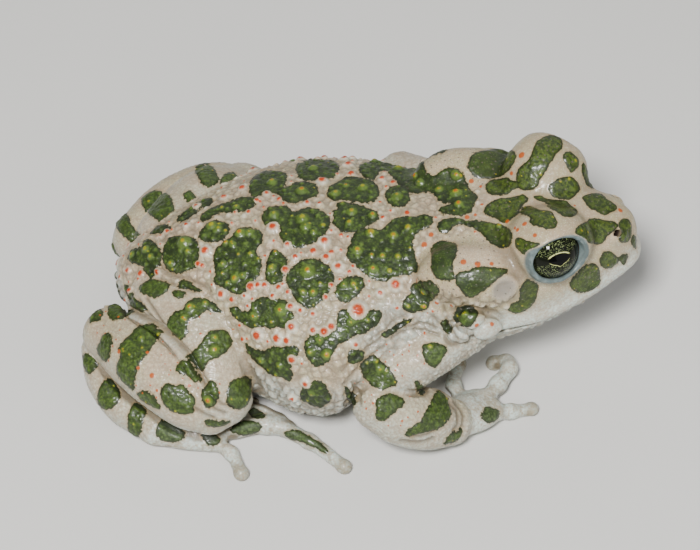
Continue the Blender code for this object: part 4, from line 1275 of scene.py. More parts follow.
RED_HEIGHT = 0.55
DOME_HEIGHT = 0.5
SPOT_HEIGHT = 0.2
PALE_HEIGHT = 0.35
warts = []
placed_warts = (
    (RED_WARTS, RED_HEIGHT, "red"),
    (ORANGE_SPOTS, SPOT_HEIGHT, "orange"),
    (PALE_WARTS, PALE_HEIGHT, "pale"),
    (GREEN_DOMES, DOME_HEIGHT, "tip"),
)
for placed, height, colour in placed_warts:
    for px, py, radius, tip in placed:
        radius, tip = radius / PIXELS_PER_MM, tip / PIXELS_PER_MM
        warts.append(Wart(skin_under(px, py), radius, height * radius, tip, colour))
print("widest wart:", round(2 * max(wart.radius for wart in warts), 1), "mm")

# %% More warts on the side that isn't seen
RED_SPACING = 2.3
DOME_SPACING = 2.4
SPOT_SPACING = 2.6
SEEN_EDGE = 1.0
draw = random.Random(5)
hidden = gap_to_seen > SEEN_EDGE
back = owned_by("trunk") & (outward[:, 2] > -0.1) & ~on_head & hidden
pale_unseen = np.flatnonzero(back & (green < -0.35))
green_unseen = np.flatnonzero(back & (green > 0.9))
for i in scatter(pale_unseen, RED_SPACING, 31):
    radius = draw.choice((0.6, 0.8, 0.9, 1.1, 1.4))
    warts.append(Wart(i, radius, RED_HEIGHT * radius, 0.38 * radius, "red"))
for i in scatter(green_unseen, DOME_SPACING, 32):
    radius = draw.uniform(0.7, 1.2)
    warts.append(Wart(i, radius, DOME_HEIGHT * radius, 0.3 * radius, "tip"))
limbs = owned_by("thigh", "shank", "upper_arm", "forearm")
for i in scatter(np.flatnonzero(limbs & (green < -0.3) & hidden), SPOT_SPACING, 33):
    radius = draw.uniform(0.3, 0.6)
    warts.append(Wart(i, radius, SPOT_HEIGHT * radius, 0.6 * radius, "orange"))
print("warts in all:", len(warts))

# %% [markdown]
# ## Grain of the skin
#
# Under a lens the skin is cobbled: flat pavement on the flank and belly with narrow lines between the
# stones, a fine grain on the limbs, a coarse glossy rubble in the green islands, and almost smooth
# skin on the snout, lids and digits. Cell patterns give the stones, and each zone chooses its size
# and height. The lines between the stones are painted darker as shade. The relief moves the skin's
# points, so it is part of the mesh's shape.

# %% Zones of the skin
ARMPIT = (7.0, 14.5, 22.0)
ARMPIT_RADII = (8.5, 4.5, 4.5)
trunk = owned_by("trunk").astype(float)
x, y, z = skin_points.T
mirrored = np.column_stack([x + BELLY_X, np.abs(y), z])
armpit = trunk * smooth_step(1.25, 0.75, np.linalg.norm((mirrored - ARMPIT) / ARMPIT_RADII, axis=1))
flank = np.maximum(trunk * smooth_step(0.42, 0.02, outward[:, 2]), 0.8 * armpit)
head = trunk * smooth_step(26.0, 32.0, x)
throat = trunk * smooth_step(24.0, 30.0, x) * smooth_step(-0.1, -0.4, outward[:, 2])
digits = owned_by("hand", "foot").astype(float)
limb = (1 - trunk) * (1 - digits)
inner = smooth_step(-0.05, -0.5, outward[:, 2]) * (1 - trunk)
face = head * (1 - throat)
island = smooth_step(-0.15, 0.45, green)
table_points = skin_points + (BELLY_X, 0, 0)
GLAND_SHIFT = Vector((-0.7, 0.2, 0.2))
GLAND_RADII = (9.0, 6.3, 5.9)
gland = np.zeros(len(skin_points))
for side in (1, -1):
    stretched = (table_points - flip(PAROTOID + GLAND_SHIFT, side)) / GLAND_RADII
    gland = np.maximum(gland, smooth_step(1.15, 0.95, np.linalg.norm(stretched, axis=1)))
smooth = np.maximum(0.75 * face, 0.9 * gland)
lips = on_head * smooth_step(6.5, 1.5, lip_height)
lip_share = on_head * smooth_step(4.0, 2.5, lip_height) * smooth_step(-1.2, -0.4, lip_height)
jaw_ball = np.zeros(len(skin_points))
for *place, radius in jaw_wart_places:
    gap = np.linalg.norm(table_points - place, axis=1) / radius
    jaw_ball = np.maximum(jaw_ball, smooth_step(1.3, 1.05, gap))
smooth = np.maximum.reduce([smooth, 0.85 * lip_share, 0.9 * jaw_ball])
even = np.maximum.reduce([0.75 * face, 0.9 * lip_share, jaw_ball])
print("share of flank and belly:", round(float(flank.mean()), 2))

# %% Lids round the eyes
eye_gap = np.full(len(skin_points), 99.0)
lid = np.zeros(len(skin_points))
for side in (1, -1):
    middle = np.array(flip(EYE, side)) - (BELLY_X, 0, 0)
    away = skin_points - middle
    eye_gap = np.minimum(eye_gap, np.linalg.norm(away, axis=1))
    facing = turned(side, *OPENING)
    behind = Vector((0, 0, side)).cross(facing).normalized()
    above = facing.cross(behind) * side
    away = (away - facing * OPENING_OUT) @ np.array((facing, behind, above)).T / OPENING_RADII
    width = 0.08 + 0.36 * smooth_step(-0.2, 0.8, 1.2 * away[:, 1] - 0.8 * away[:, 2])
    width += 0.07 * smooth_step(0.0, -0.6, away[:, 1])
    lid = np.maximum(lid, smooth_step(1 + width, 1 + 0.6 * width, np.linalg.norm(away, axis=1)))
green = np.where(lid > 0.3, np.minimum(green, -lid), green)
print("points on the lids:", int((lid > 0.5).sum()))


# %% Stones, grain and folds
def stones(size, seed, stretch=(1, 1, 1)):
    """Height of rounded stones from 0 to 1, and how near a point is to the lines between them."""
    first, second = cell_pattern(skin_points * stretch, size, seed)
    line = np.clip((second - first) * 2.2, 0, 1)
    return line * (2 - line) * (1 - 0.35 * np.clip(first, 0, 1)), 1 - line


FLANK_SIZE = 1.35
BACK_SIZE = 1.15
RUBBLE_SIZE = 0.62
LIMB_SIZE = 0.75
pavement, pavement_lines = stones(FLANK_SIZE, 1, (1, 1, 0.8))
pebbles, pebble_lines = stones(BACK_SIZE, 2)
rubble, rubble_lines = stones(RUBBLE_SIZE, 3)
grain, grain_lines = stones(LIMB_SIZE, 4)
swell = waves(skin_points, 3.5, 5) - 0.5
arm_below = owned_by("upper_arm") * smooth_step(0.5, 0.0, outward[:, 2])
back_share = trunk * (1 - flank) * (1 - island) * (1 - smooth)
FOLD_LENGTH = 2.6
fold_turn = (0.75 * x + 0.65 * z) / FOLD_LENGTH + 2.2 * waves(skin_points, 5.0, 8)
folds = flank * (1 - head) * smooth_step(4.0, 8.0, z) * np.sin(2 * math.pi * fold_turn)
print("folds share:", round(float((np.abs(folds) > 0.5).mean()), 2))

# %% Height of the relief, and where creases get painted shade
PAVEMENT_HEIGHT = 0.4
PEBBLE_HEIGHT = 0.23
ISLAND_RAISED = 0.2
RUBBLE_HEIGHT = 0.11
LIMB_RUBBLE = 0.07
GRAIN_HEIGHT = 0.1
DIGIT_GRAIN = 0.02
HALFWAY = 0.4
SWELL_HEIGHT = 0.2
RIPPLE_HEIGHT = 0.1
FOLD_SUNK = 0.25
rubble_height = RUBBLE_HEIGHT * trunk * (1 - 0.8 * smooth) + LIMB_RUBBLE * limb
grain_height = (GRAIN_HEIGHT + 0.16 * arm_below + 0.06 * owned_by("forearm")) * limb
relief = PAVEMENT_HEIGHT * flank * (1 - even) * (1 - 0.3 * island) * (pavement - HALFWAY)
relief += PEBBLE_HEIGHT * back_share * (pebbles - HALFWAY)
relief += island * (ISLAND_RAISED + rubble_height * (rubble - HALFWAY))
relief += grain_height * (grain - HALFWAY)
relief += DIGIT_GRAIN * digits * (grain - HALFWAY)
relief += SWELL_HEIGHT * swell * (1 - digits) * (1 - 0.6 * face)
relief += RIPPLE_HEIGHT * folds - FOLD_SUNK * fold
# painted shade: darkens the colour in folds, in the lines between stones and grains, and in troughs of the
# ripples
crevice = np.maximum.reduce(
    [
        fold,
        pavement_lines * flank * (1 - even),
        0.8 * pebble_lines * back_share,
        0.5 * smooth_step(-0.3, -0.9, folds),
        0.7 * rubble_lines * island * (1 - 0.5 * smooth),
        (0.35 + 0.4 * arm_below) * grain_lines * limb,
    ]
)
print("relief from", round(float(relief.min()), 2), "to", round(float(relief.max()), 2), "mm")

# %% Small domes all over the green islands and pale back
draw = random.Random(6)
small = []
for i in scatter(np.flatnonzero((green > 0.3) & (trunk + 0.5 * limb > 0.4)), 1.35, 41):
    strength = (1 if trunk[i] else 0.45) * (1 - 0.7 * smooth[i])
    radius = draw.uniform(0.3, 0.6)
    colour = "tip" if draw.random() < 0.12 else "green"
    small.append(Wart(i, radius, 0.38 * radius * strength, 0.35 * radius, colour))
pale_back = (green < -0.3) & (trunk > 0) & (outward[:, 2] > -0.2) & (smooth < 0.3)
for i in scatter(np.flatnonzero(pale_back), 1.9, 42):
    radius = draw.uniform(0.35, 0.75)
    colour = "red" if draw.random() < 0.16 else "pale"
    small.append(Wart(i, radius, 0.42 * radius, 0.25 * radius, colour))
print("small domes:", len(small))

# %% [markdown]
# Loose skin lies in folds behind the arm, over the hip and at the wrist and knee. They are drawn
# as lines in the photograph, each becomes a soft groove, and the other side wears their mirror
# image on its trunk. Glands on the neck and head open in small dark pores.

# %% Skin folds in pixels of the photograph
FOLD_LINES = (
    ((345, 385), (355, 372), (365, 362), (378, 351), (390, 341), (402, 333), (420, 330), (445, 337)),
    ((342, 372), (355, 360), (370, 347), (385, 335), (400, 325), (415, 320)),
    ((350, 362), (365, 350), (380, 338), (392, 328)),
    ((370, 340), (385, 330), (398, 318), (412, 314)),
    ((405, 328), (425, 324), (440, 331)),
    ((420, 311), (432, 317), (441, 326)),
    ((443, 306), (446, 317), (450, 327), (458, 340), (472, 343)),
    ((450, 402), (458, 411), (459, 424), (453, 434)),
    ((455, 401), (463, 411), (464, 422), (460, 432)),
    ((352, 383), (357, 394), (360, 407)),
    ((412, 438), (425, 436), (438, 430)),
    ((400, 442), (420, 443), (438, 437)),
    ((195, 408), (205, 415), (216, 420)),
    ((204, 402), (215, 410), (229, 415)),
    ((210, 395), (222, 404), (236, 408)),
    ((160, 267), (172, 275), (188, 279), (204, 286), (212, 293)),
    ((152, 272), (166, 281), (182, 286), (198, 292)),
    ((146, 298), (153, 309), (161, 322), (167, 333)),
    ((138, 300), (146, 311), (153, 320)),
    ((128, 296), (135, 306), (143, 315)),
)
GROOVE_WIDTH = 0.42
GROOVE_DEPTH = 0.42
groove = np.zeros(len(skin_points))
for side in (-1, 1):
    as_seen = (1, -side, 1)
    px, py = photo_place(skin_points * as_seen)[:2]
    facing = (outward * as_seen) @ np.array(back_to_camera)
    there = seen if side < 0 else (facing > 0.1) & owned_by("trunk", "upper_arm_left")
    for line in FOLD_LINES:
        line = through(np.array(line, float), np.arange(0, len(line) - 1, 0.25))
        low, high = line.min(0) - 8, line.max(0) + 8
        those = np.flatnonzero(there & (px > low[0]) & (px < high[0]) & (py > low[1]) & (py < high[1]))
        gap = gap_to_line(line, px[those], py[those]) / PIXELS_PER_MM
        groove[those] = np.maximum(groove[those], np.exp(-((gap / GROOVE_WIDTH) ** 2)))
relief -= GROOVE_DEPTH * groove
# the drawn grooves also get painted shade
crevice = np.maximum(crevice, groove**1.4)
print("share of the skin in drawn folds:", round(float((groove > 0.5).mean()), 3))

# %% The shank lies over the thigh, so its edge stands up above a narrow line of painted shadow
SHANK_OUTLINE = (
    *(114, 306, 128, 312, 139, 317, 150, 323, 160, 329, 167, 335, 179, 347, 188, 357, 195, 369, 201, 380),
    *(207, 392, 200, 440, 120, 420, 70, 380, 70, 310),
)
EDGE_RAISED = 0.6
EDGE_SUNK = 0.9
near_edge = (across > 105) & (across < 215) & (down > 295) & (down < 395)
those = np.flatnonzero(seen & near_edge & owned_by("thigh_right", "shank_right"))
corners = np.array(SHANK_OUTLINE, float).reshape(-1, 2)
over = inside_distance(corners, across[those], down[those]) / PIXELS_PER_MM
fade = smooth_step(394, 382, down[those])
relief[those] += EDGE_RAISED * fade * smooth_step(-0.05, 0.4, over) * smooth_step(3.5, 0.9, over)
relief[those] -= EDGE_SUNK * fade * np.exp(-(((over + 0.45) / 0.42) ** 2))
# painted shadow cast by the shank's edge on the thigh
crevice[those] = np.maximum(crevice[those], fade * np.exp(-(((over + 0.3) / 0.4) ** 2)))
print("points along the shank's edge:", int((np.abs(over) < 1).sum()))

# %% Mouth line and pores
# less painted crease shade on the lips, and painted shade along the mouth line under the lip
crevice *= 1 - 0.55 * lips
mouth_line_shade = on_head * smooth_step(25.5, 28.0, x + BELLY_X) * np.exp(-(((lip_height + 0.1) / 0.2) ** 2))
crevice = np.maximum(crevice, 0.9 * mouth_line_shade)

PORE_SPACING = 0.85
PORES_LEFT_OUT = 0.35
PORE_REACH = 0.6
PORE_WIDTH = 0.16
PORE_SUNK = 0.07
pore_gap = np.full(len(skin_points), 1.0)
glandular = (gland > 0.4) | ((face > 0.5) & (green > 0.3))
draw = random.Random(7)
for i in scatter(np.flatnonzero(glandular), PORE_SPACING, 51):
    if draw.random() < PORES_LEFT_OUT:
        continue
    those, gap = near(skin_points[i], PORE_REACH)
    gap = gap * draw.uniform(0.8, 1.5)
    pore_gap[those] = np.minimum(pore_gap[those], gap)
relief -= PORE_SUNK * np.exp(-((pore_gap / PORE_WIDTH) ** 2))
print("points in pores:", int((pore_gap < PORE_WIDTH).sum()))

# %% Raise the warts and note the colour of their tips
TIP_SUNK = 0.1
SMALLEST_SPOT = 0.2
tips = {colour: np.zeros(len(skin_points)) for colour in ("red", "orange", "tip")}
dome = np.zeros(len(skin_points))
for wart in warts + small:
    those, gap = near(skin_points[wart.point], wart.radius)
    same = outward[those] @ outward[wart.point] > 0.2
    those, gap = those[same], gap[same]
    t = gap / wart.radius
    cap = (1 - t**2) ** 1.6
    dome[those] = np.maximum(dome[those], wart.height * cap)
    # less painted crease shade on a wart's cap
    crevice[those] *= 1 - cap * 0.8
    if wart.colour in tips:
        reach = wart.tip if wart.colour == "tip" else max(wart.tip, SMALLEST_SPOT)
        tone = smooth_step(reach * 1.5, reach * 0.4, gap)
        tips[wart.colour][those] = np.maximum(tips[wart.colour][those], tone)
        dome[those] -= TIP_SUNK * wart.tip * np.exp(-((gap / (0.35 * wart.tip)) ** 2))
    if wart.colour == "red":
        green[those] = np.minimum(green[those], -0.2 * cap + np.where(t < 0.75, -0.05, 9.0))
relief += dome

# %% Keep the relief off the eyes and the floor, then move the points
EYE_CLEAR = (EYE_RADIUS + 0.35, EYE_RADIUS + 1.6)
FLOOR_CLEAR = (0.0, 0.5)
relief *= smooth_step(*EYE_CLEAR, eye_gap)
relief *= smooth_step(*FLOOR_CLEAR, z)
shaped_points = skin_points + outward * relief[:, None]
shaped_points[:, 2] = np.maximum(shaped_points[:, 2], 0.0)
skin.data.vertices.foreach_set("co", (shaped_points * MM).ravel())
skin.data.update()
print("warts raised up to", round(float(dome.max()), 2), "mm")


# %% [markdown]
# ## Notes on the skin for its paint
#
# What was worked out above is kept on the mesh as named attributes, one number for each point. The
# paint reads them by name, so its nodes stay simple: where is green, where is a tip, where a crease
# gets painted shade.

# %% Ears, nostrils and tips of toes
ear = np.zeros(len(skin_points))
nostril = np.zeros(len(skin_points))
for side in (1, -1):
    ear_gap = np.linalg.norm(table_points - flip(EAR, side), axis=1)
    ear = np.maximum(ear, smooth_step(2.4, 1.8, ear_gap))
    away = table_points - flip(NOSTRIL_OPENING, side)
    deep = away @ flip(NOSTRIL_IN, side)
    off_axis = np.sqrt(np.maximum((away**2).sum(1) - deep**2, 0))
    inside = smooth_step(0.0, 0.5, deep) * smooth_step(3.0, 2.6, deep)
    nostril = np.maximum(nostril, inside * smooth_step(0.95, 0.7, off_axis))
tip_gap = np.full(len(skin_points), 9.0)
for pieces in FEET.values():
    for digit in pieces[1:]:
        end = np.array(digit[-1][:3]) - (BELLY_X, 0, 0)
        tip_gap = np.minimum(tip_gap, np.linalg.norm(skin_points - end, axis=1))
print("points in the nostrils:", int((nostril > 0.5).sum()))


# %% Attributes
def note(obj, name, values):
    """Keeps one number for each point of a mesh, under a name."""
    attribute = obj.data.attributes.new(name, "FLOAT", "POINT")
    attribute.data.foreach_set("value", np.ascontiguousarray(values, np.float32))


JAW_CORNER = (19.5, 12.8, 21.8)
jaw_white = smooth_step(5.5, 3.5, np.linalg.norm((mirrored - JAW_CORNER) * (0.6, 1, 1), axis=1))
limb_white = limb * (0.2 + 0.45 * smooth_step(0.85, 0.2, outward[:, 2]) + 0.15 * owned_by("upper_arm"))
limb_white = np.maximum(limb_white - 0.25 * owned_by("shank"), 0)
belly = np.maximum.reduce([flank, inner, digits, limb_white, lips, jaw_white * trunk, jaw_ball])
for name, values in {
    "green": green,
    "red": tips["red"],
    "orange": tips["orange"],
    "tip": tips["tip"],
    # painted shade of creases and folds
    "crevice": crevice,
    "dome": dome,
    "belly": belly,
    "face": face * (1 - lips),
    "limb": limb,
    "digit": digits,
    "lid": lid,
    "ear": ear,
    "gland": gland,
    "nostril": nostril,
    "pore_gap": pore_gap,
    "toe": smooth_step(2.4, 0.6, tip_gap) * digits,
}.items():
    note(skin, name, values)
print("attributes:", [a.name for a in skin.data.attributes if a.data_type == "FLOAT"])

# %% [markdown]
# ## Paint for the skin
#
# One material covers the whole skin. It mixes a pale pinkish ground, whiter below, with the green
# of the islands, whose edge is roughened by noise, rimmed in near black and flecked with small
# bright grains. Tips of warts turn red, orange or yellow. Creases are darkened with painted shade,
# and the tops of domes are lightened, partly with painted highlight. The skin is moist, so it has a
# thin coat and a little light passes through it.


# %% A small kit for paint nodes
class Paint:
    """Builds the nodes of one material."""

    def __init__(self, name):
        self.material = bpy.data.materials.new(name)
        self.material.use_nodes = True
        self.tree = self.material.node_tree
        self.shader = self.tree.nodes["Principled BSDF"]
        self.place = self.node("ShaderNodeTexCoord").outputs["Object"]

    def node(self, kind, **settings):
        made = self.tree.nodes.new(kind)
        for key, value in settings.items():
            setattr(made, key, value)
        return made

    def put(self, socket, value):
        """Links a node's output to a socket, or sets the socket to a number or colour."""
        if isinstance(value, bpy.types.NodeSocket):
            self.tree.links.new(value, socket)
        elif isinstance(value, tuple):
            socket.default_value = (*value, 1.0)[: len(socket.default_value)]
        else:
            socket.default_value = value

    def note(self, name):
        return self.node("ShaderNodeAttribute", attribute_name=name).outputs["Fac"]

    def sum(self, operation, a, b=0.0):
        made = self.node("ShaderNodeMath", operation=operation)
        self.put(made.inputs[0], a)
        self.put(made.inputs[1], b)
        return made.outputs[0]

    def rise(self, value, low, high, start=0.0, end=1.0):
        """Start below low, end above high, and a soft change between."""
        made = self.node("ShaderNodeMapRange", interpolation_type="SMOOTHSTEP")
        for socket, number in zip(made.inputs, (value, low, high, start, end)):
            self.put(socket, number)
        return made.outputs["Result"]

    def mix(self, share, a, b):
        made = self.node("ShaderNodeMix", data_type="RGBA")
        self.put(made.inputs["Factor"], share)
        self.put(made.inputs[6], a)
        self.put(made.inputs[7], b)
        return made.outputs[2]

    def over(self, colour, share, strength, tone):
        """A colour with a tone laid over it where its share of the skin is high."""
        return self.mix(self.sum("MULTIPLY", share, strength), colour, tone)

    def noise(self, size, detail=2.0, roughness=0.5):
        """Soft noise with features of this size in millimetres."""
        made = self.node("ShaderNodeTexNoise")
        self.put(made.inputs["Vector"], self.place)
        self.put(made.inputs["Scale"], 1.0 / (size * MM))
        self.put(made.inputs["Detail"], detail)
        self.put(made.inputs["Roughness"], roughness)
        return made.outputs["Fac"]

    def cells(self, size):
        """Distance to the middle of grains of this size in millimetres."""
        made = self.node("ShaderNodeTexVoronoi")
        self.put(made.inputs["Vector"], self.place)
        self.put(made.inputs["Scale"], 1.0 / (size * MM))
        return made.outputs["Distance"]


print("paint kit ready")

# %% Where the green is, with its ragged edge
paint = Paint("toad_skin")
face_share = paint.note("face")
gland_share = paint.note("gland")
ragged = paint.sum("SUBTRACT", paint.noise(0.6, 4.0, 0.6), 0.5)
ragged = paint.sum("MULTIPLY", ragged, paint.rise(face_share, 0.0, 1.0, 1.0, 0.5))
edge = paint.sum("ADD", paint.note("green"), ragged)
is_green = paint.rise(edge, -0.05, 0.06)
rim = paint.sum("MULTIPLY", is_green, paint.rise(edge, 0.06, 0.5, 1.0, 0.0))
halo = paint.rise(edge, -0.4, -0.04)
# share of painted crease shade
crease_shade_share = paint.note("crevice")
print("nodes that find the green:", len(paint.tree.nodes))

# %% Pale ground
BACK_PALE = (0.47, 0.42, 0.265)
BELLY_PALE = (0.52, 0.60, 0.55)
FACE_PALE = (0.375, 0.325, 0.18)
# whiter colour of fine grains and of dome tops, on the domes partly painted highlight
WART_PALE_AND_HIGHLIGHT = (0.68, 0.65, 0.53)
PINK = (0.55, 0.41, 0.29)
MOTTLE = (0.36, 0.27, 0.18)
# colour of the painted shade in creases of the pale ground
PALE_CREASE_SHADE = (0.13, 0.10, 0.062)
HALO = (0.30, 0.22, 0.10)
TOE_BROWN = (0.21, 0.165, 0.09)
pale = paint.mix(paint.note("belly"), BACK_PALE, BELLY_PALE)
pale = paint.over(pale, face_share, 0.8, FACE_PALE)
pale = paint.over(pale, gland_share, 0.9, FACE_PALE)
blush = paint.rise(paint.noise(5.0, 2.0), 0.42, 0.62, 0.0, 0.6)
blush = paint.sum("MULTIPLY", blush, paint.sum("SUBTRACT", 1.0, paint.note("belly")))
pale = paint.mix(blush, pale, PINK)
mottle = paint.rise(paint.noise(2.6, 3.0, 0.6), 0.42, 0.72, 0.0, 0.55)
pale = paint.mix(mottle, pale, MOTTLE)
fine = paint.rise(paint.noise(0.4, 3.0), 0.35, 0.65, 0.0, 0.6)
pale = paint.mix(fine, pale, MOTTLE)
salt = paint.rise(paint.cells(0.3), 0.12, 0.42, 0.45, 0.0)
pale = paint.mix(salt, pale, WART_PALE_AND_HIGHLIGHT)
# dome tops lighter: partly the warts' own whiter colour, partly painted highlight
pale = paint.mix(paint.rise(paint.note("dome"), 0.05, 0.4, 0.0, 0.7), pale, WART_PALE_AND_HIGHLIGHT)
# painted shade in the creases of the pale ground
pale = paint.over(pale, crease_shade_share, 0.85, PALE_CREASE_SHADE)
pale = paint.over(pale, halo, 0.45, HALO)
toe_marks = paint.rise(paint.noise(1.6, 3.0), 0.48, 0.62, 0.0, 0.4)
pale = paint.mix(paint.sum("MULTIPLY", toe_marks, paint.note("digit")), pale, TOE_BROWN)
print("nodes with the pale ground:", len(paint.tree.nodes))

# %% Green of the islands
GREEN_DARK = (0.018, 0.03, 0.006)
GREEN_MID = (0.062, 0.105, 0.015)
# bright colour of grains and of dome tops, on the domes partly painted highlight
GREEN_FLECK_AND_HIGHLIGHT = (0.13, 0.21, 0.032)
GREEN_LIMB = (0.095, 0.155, 0.024)
GREEN_TOE = (0.13, 0.185, 0.07)
GREEN_FACE = (0.08, 0.112, 0.009)
# colour of the painted shade in creases of the green
GREEN_CREASE_SHADE = (0.008, 0.012, 0.005)
RIM = (0.013, 0.015, 0.006)
grains = paint.cells(0.3)
green_tone = paint.mix(paint.rise(paint.noise(1.6, 3.0, 0.6), 0.35, 0.65), GREEN_DARK, GREEN_MID)
green_tone = paint.over(green_tone, face_share, 0.55, GREEN_FACE)
green_tone = paint.over(green_tone, paint.note("limb"), 0.5, GREEN_LIMB)
green_tone = paint.over(green_tone, paint.note("digit"), 0.6, GREEN_TOE)
shade = paint.rise(paint.noise(0.5, 2.0), 0.35, 0.6, 0.65, 0.0)
face_shade = paint.rise(paint.noise(0.55, 2.0), 0.4, 0.56, 0.85, 0.0)
shade = paint.mix(face_share, shade, face_shade)
shade = paint.sum("MAXIMUM", shade, paint.sum("MULTIPLY", gland_share, 0.55))
green_tone = paint.mix(shade, green_tone, GREEN_DARK)
# dome tops brighter green: partly their own lighter colour, partly painted highlight
raised = paint.rise(paint.note("dome"), 0.02, 0.22, 0.0, 0.6)
patchy = paint.rise(paint.noise(0.8), 0.42, 0.62, 0.0, 0.6)
flecks = paint.sum("MULTIPLY", paint.rise(grains, 0.1, 0.45, 1.0, 0.0), patchy)
green_tone = paint.mix(paint.sum("MAXIMUM", raised, flecks), green_tone, GREEN_FLECK_AND_HIGHLIGHT)
# painted shade in the creases of the green
green_tone = paint.over(green_tone, crease_shade_share, 0.9, GREEN_CREASE_SHADE)
green_tone = paint.over(green_tone, rim, 0.85, RIM)
print("nodes with the green:", len(paint.tree.nodes))

# %% Tips of the warts
YELLOW_TIP = (0.25, 0.24, 0.004)
ORANGE_TIP = (0.34, 0.09, 0.002)
ORANGE_SPOT = (0.38, 0.065, 0.002)
RED_TIP = (0.38, 0.032, 0.0)
RED_RING = (0.46, 0.11, 0.01)
tip = paint.note("tip")
green_tone = paint.mix(paint.rise(tip, 0.05, 0.8, 0.0, 0.9), green_tone, YELLOW_TIP)
orange_middle = paint.sum("MULTIPLY", paint.rise(tip, 0.6, 1.0), paint.rise(paint.noise(6.0), 0.42, 0.58))
green_tone = paint.mix(orange_middle, green_tone, ORANGE_TIP)
colour = paint.mix(is_green, pale, green_tone)
colour = paint.mix(paint.rise(paint.note("orange"), 0.35, 0.85, 0.0, 0.92), colour, ORANGE_SPOT)
red = paint.note("red")
red_edge = paint.sum("ADD", red, paint.sum("MULTIPLY", paint.sum("SUBTRACT", paint.noise(0.4), 0.5), 0.7))
colour = paint.mix(paint.rise(red, 0.03, 0.4, 0.0, 0.6), colour, RED_RING)
red_share = paint.sum("MULTIPLY", paint.rise(red_edge, 0.4, 0.85, 0.0, 0.96), paint.rise(red, 0.02, 0.2))
colour = paint.mix(red_share, colour, RED_TIP)
print("nodes with the tips:", len(paint.tree.nodes))

# %% Lids, ears, toes, pores and nostrils
LID_GREY = (0.065, 0.10, 0.105)
LID_PALE = (0.17, 0.23, 0.235)
EAR_GREY = (0.29, 0.265, 0.23)
PORE = (0.10, 0.085, 0.06)
NOSTRIL_SHADE = (0.018, 0.01, 0.008)
lid_tone = paint.mix(paint.rise(paint.noise(1.4, 3.0), 0.4, 0.66, 0.0, 0.7), LID_GREY, LID_PALE)
colour = paint.over(colour, paint.note("lid"), 0.92, lid_tone)
colour = paint.over(colour, paint.note("ear"), 0.6, EAR_GREY)
colour = paint.over(colour, paint.note("toe"), 0.72, TOE_BROWN)
colour = paint.mix(paint.rise(paint.note("pore_gap"), 0.1, 0.2, 0.8, 0.0), colour, PORE)
# inside of each nostril: its dark brown lining deepened with painted shade in the hollow
colour = paint.mix(paint.note("nostril"), colour, NOSTRIL_SHADE)
print("nodes with every colour:", len(paint.tree.nodes))

# %% Gloss, fine grain and light inside the skin
damp = paint.noise(2.2, 2.0)
roughness = paint.rise(damp, 0.3, 0.7, 0.36, 0.52)
roughness = paint.sum("ADD", roughness, paint.sum("MULTIPLY", is_green, 0.06))
fine_grain = paint.sum("MULTIPLY", paint.noise(0.22, 2.0), 0.8)
bump_height = paint.sum("ADD", paint.sum("MULTIPLY", grains, -1.0), fine_grain)
bump = paint.node("ShaderNodeBump")
paint.put(bump.inputs["Height"], bump_height)
bump.inputs["Distance"].default_value = 0.05 * MM
bump.inputs["Strength"].default_value = 0.6

paint.put(paint.shader.inputs["Base Color"], colour)
paint.put(paint.shader.inputs["Roughness"], roughness)
paint.put(paint.shader.inputs["Normal"], bump.outputs["Normal"])
paint.shader.inputs["Subsurface Weight"].default_value = 0.12
paint.shader.inputs["Subsurface Radius"].default_value = (1.0, 0.55, 0.35)
paint.shader.inputs["Subsurface Scale"].default_value = 0.5 * MM
paint.shader.inputs["Specular IOR Level"].default_value = 0.28
paint.shader.inputs["Coat Weight"].default_value = 0.25
paint.shader.inputs["Coat Roughness"].default_value = 0.18
skin.data.materials.append(paint.material)
print("skin paint nodes:", len(paint.tree.nodes))

# %% [markdown]
# ## Eyes
#
# The iris is nearly black with gold-green specks, and the pupil is a level oval with a gold line
# above it and a notched one below. Each eyeball keeps two numbers at every point, how far it lies
# across and up from the middle of the iris, so the paint can draw with plain circles and ovals.

# %% Eyeballs
eyes = {}
for side, name in ((1, "left"), (-1, "right")):
    facing = turned(side, *GAZE)
    points, faces = ball_form(flip(EYE, side), (EYE_RADIUS,) * 3, facing, rings=64, sides=96)
    eye = mesh_of(f"eyeball_{name}", points, faces)
    away = (points - flip(EYE, side) + (BELLY_X, 0, 0)) / EYE_RADIUS
    level = Vector((0, 0, 1)).cross(facing).normalized() * side
    rise_axis = facing.cross(level) * side
    eyes[name] = eye
    note(eye, "across_iris", away @ np.array(level))
    note(eye, "up_iris", away @ np.array(rise_axis))
print("eyes:", list(eyes))

# %% Eye paint
IRIS_BLACK = (0.006, 0.007, 0.004)
IRIS_GOLD = (0.30, 0.37, 0.15)
PUPIL_LINE = (0.58, 0.60, 0.24)
PUPIL = (0.002, 0.002, 0.002)
PUPIL_HALF = (0.40, 0.21)
NOTCH_DEPTH = 0.06
iris = Paint("toad_eye")
across_iris = iris.note("across_iris")
up_iris = iris.note("up_iris")
ax = iris.sum("ABSOLUTE", across_iris)
notch = iris.sum("MULTIPLY", iris.rise(ax, 0.0, 0.16, 1.0, 0.0), NOTCH_DEPTH)
shifted = iris.sum("ADD", up_iris, iris.sum("MULTIPLY", notch, iris.rise(up_iris, -0.1, -0.02, 1.0, 0.0)))
oval_x = iris.sum("POWER", iris.sum("DIVIDE", ax, PUPIL_HALF[0]), 2.0)
oval_y = iris.sum("POWER", iris.sum("DIVIDE", iris.sum("ABSOLUTE", shifted), PUPIL_HALF[1]), 1.7)
oval = iris.sum("ADD", oval_x, oval_y)
line_width = iris.rise(up_iris, -0.05, 0.1, 1.16, 1.32)
line = iris.sum("MULTIPLY", iris.rise(oval, 0.97, 1.03), iris.sum("LESS_THAN", oval, line_width))
line = iris.sum("MULTIPLY", line, iris.rise(iris.noise(0.35), 0.3, 0.5, 0.5, 1.0))
line = iris.sum("MULTIPLY", line, iris.rise(oval_y, 0.1, 0.45))
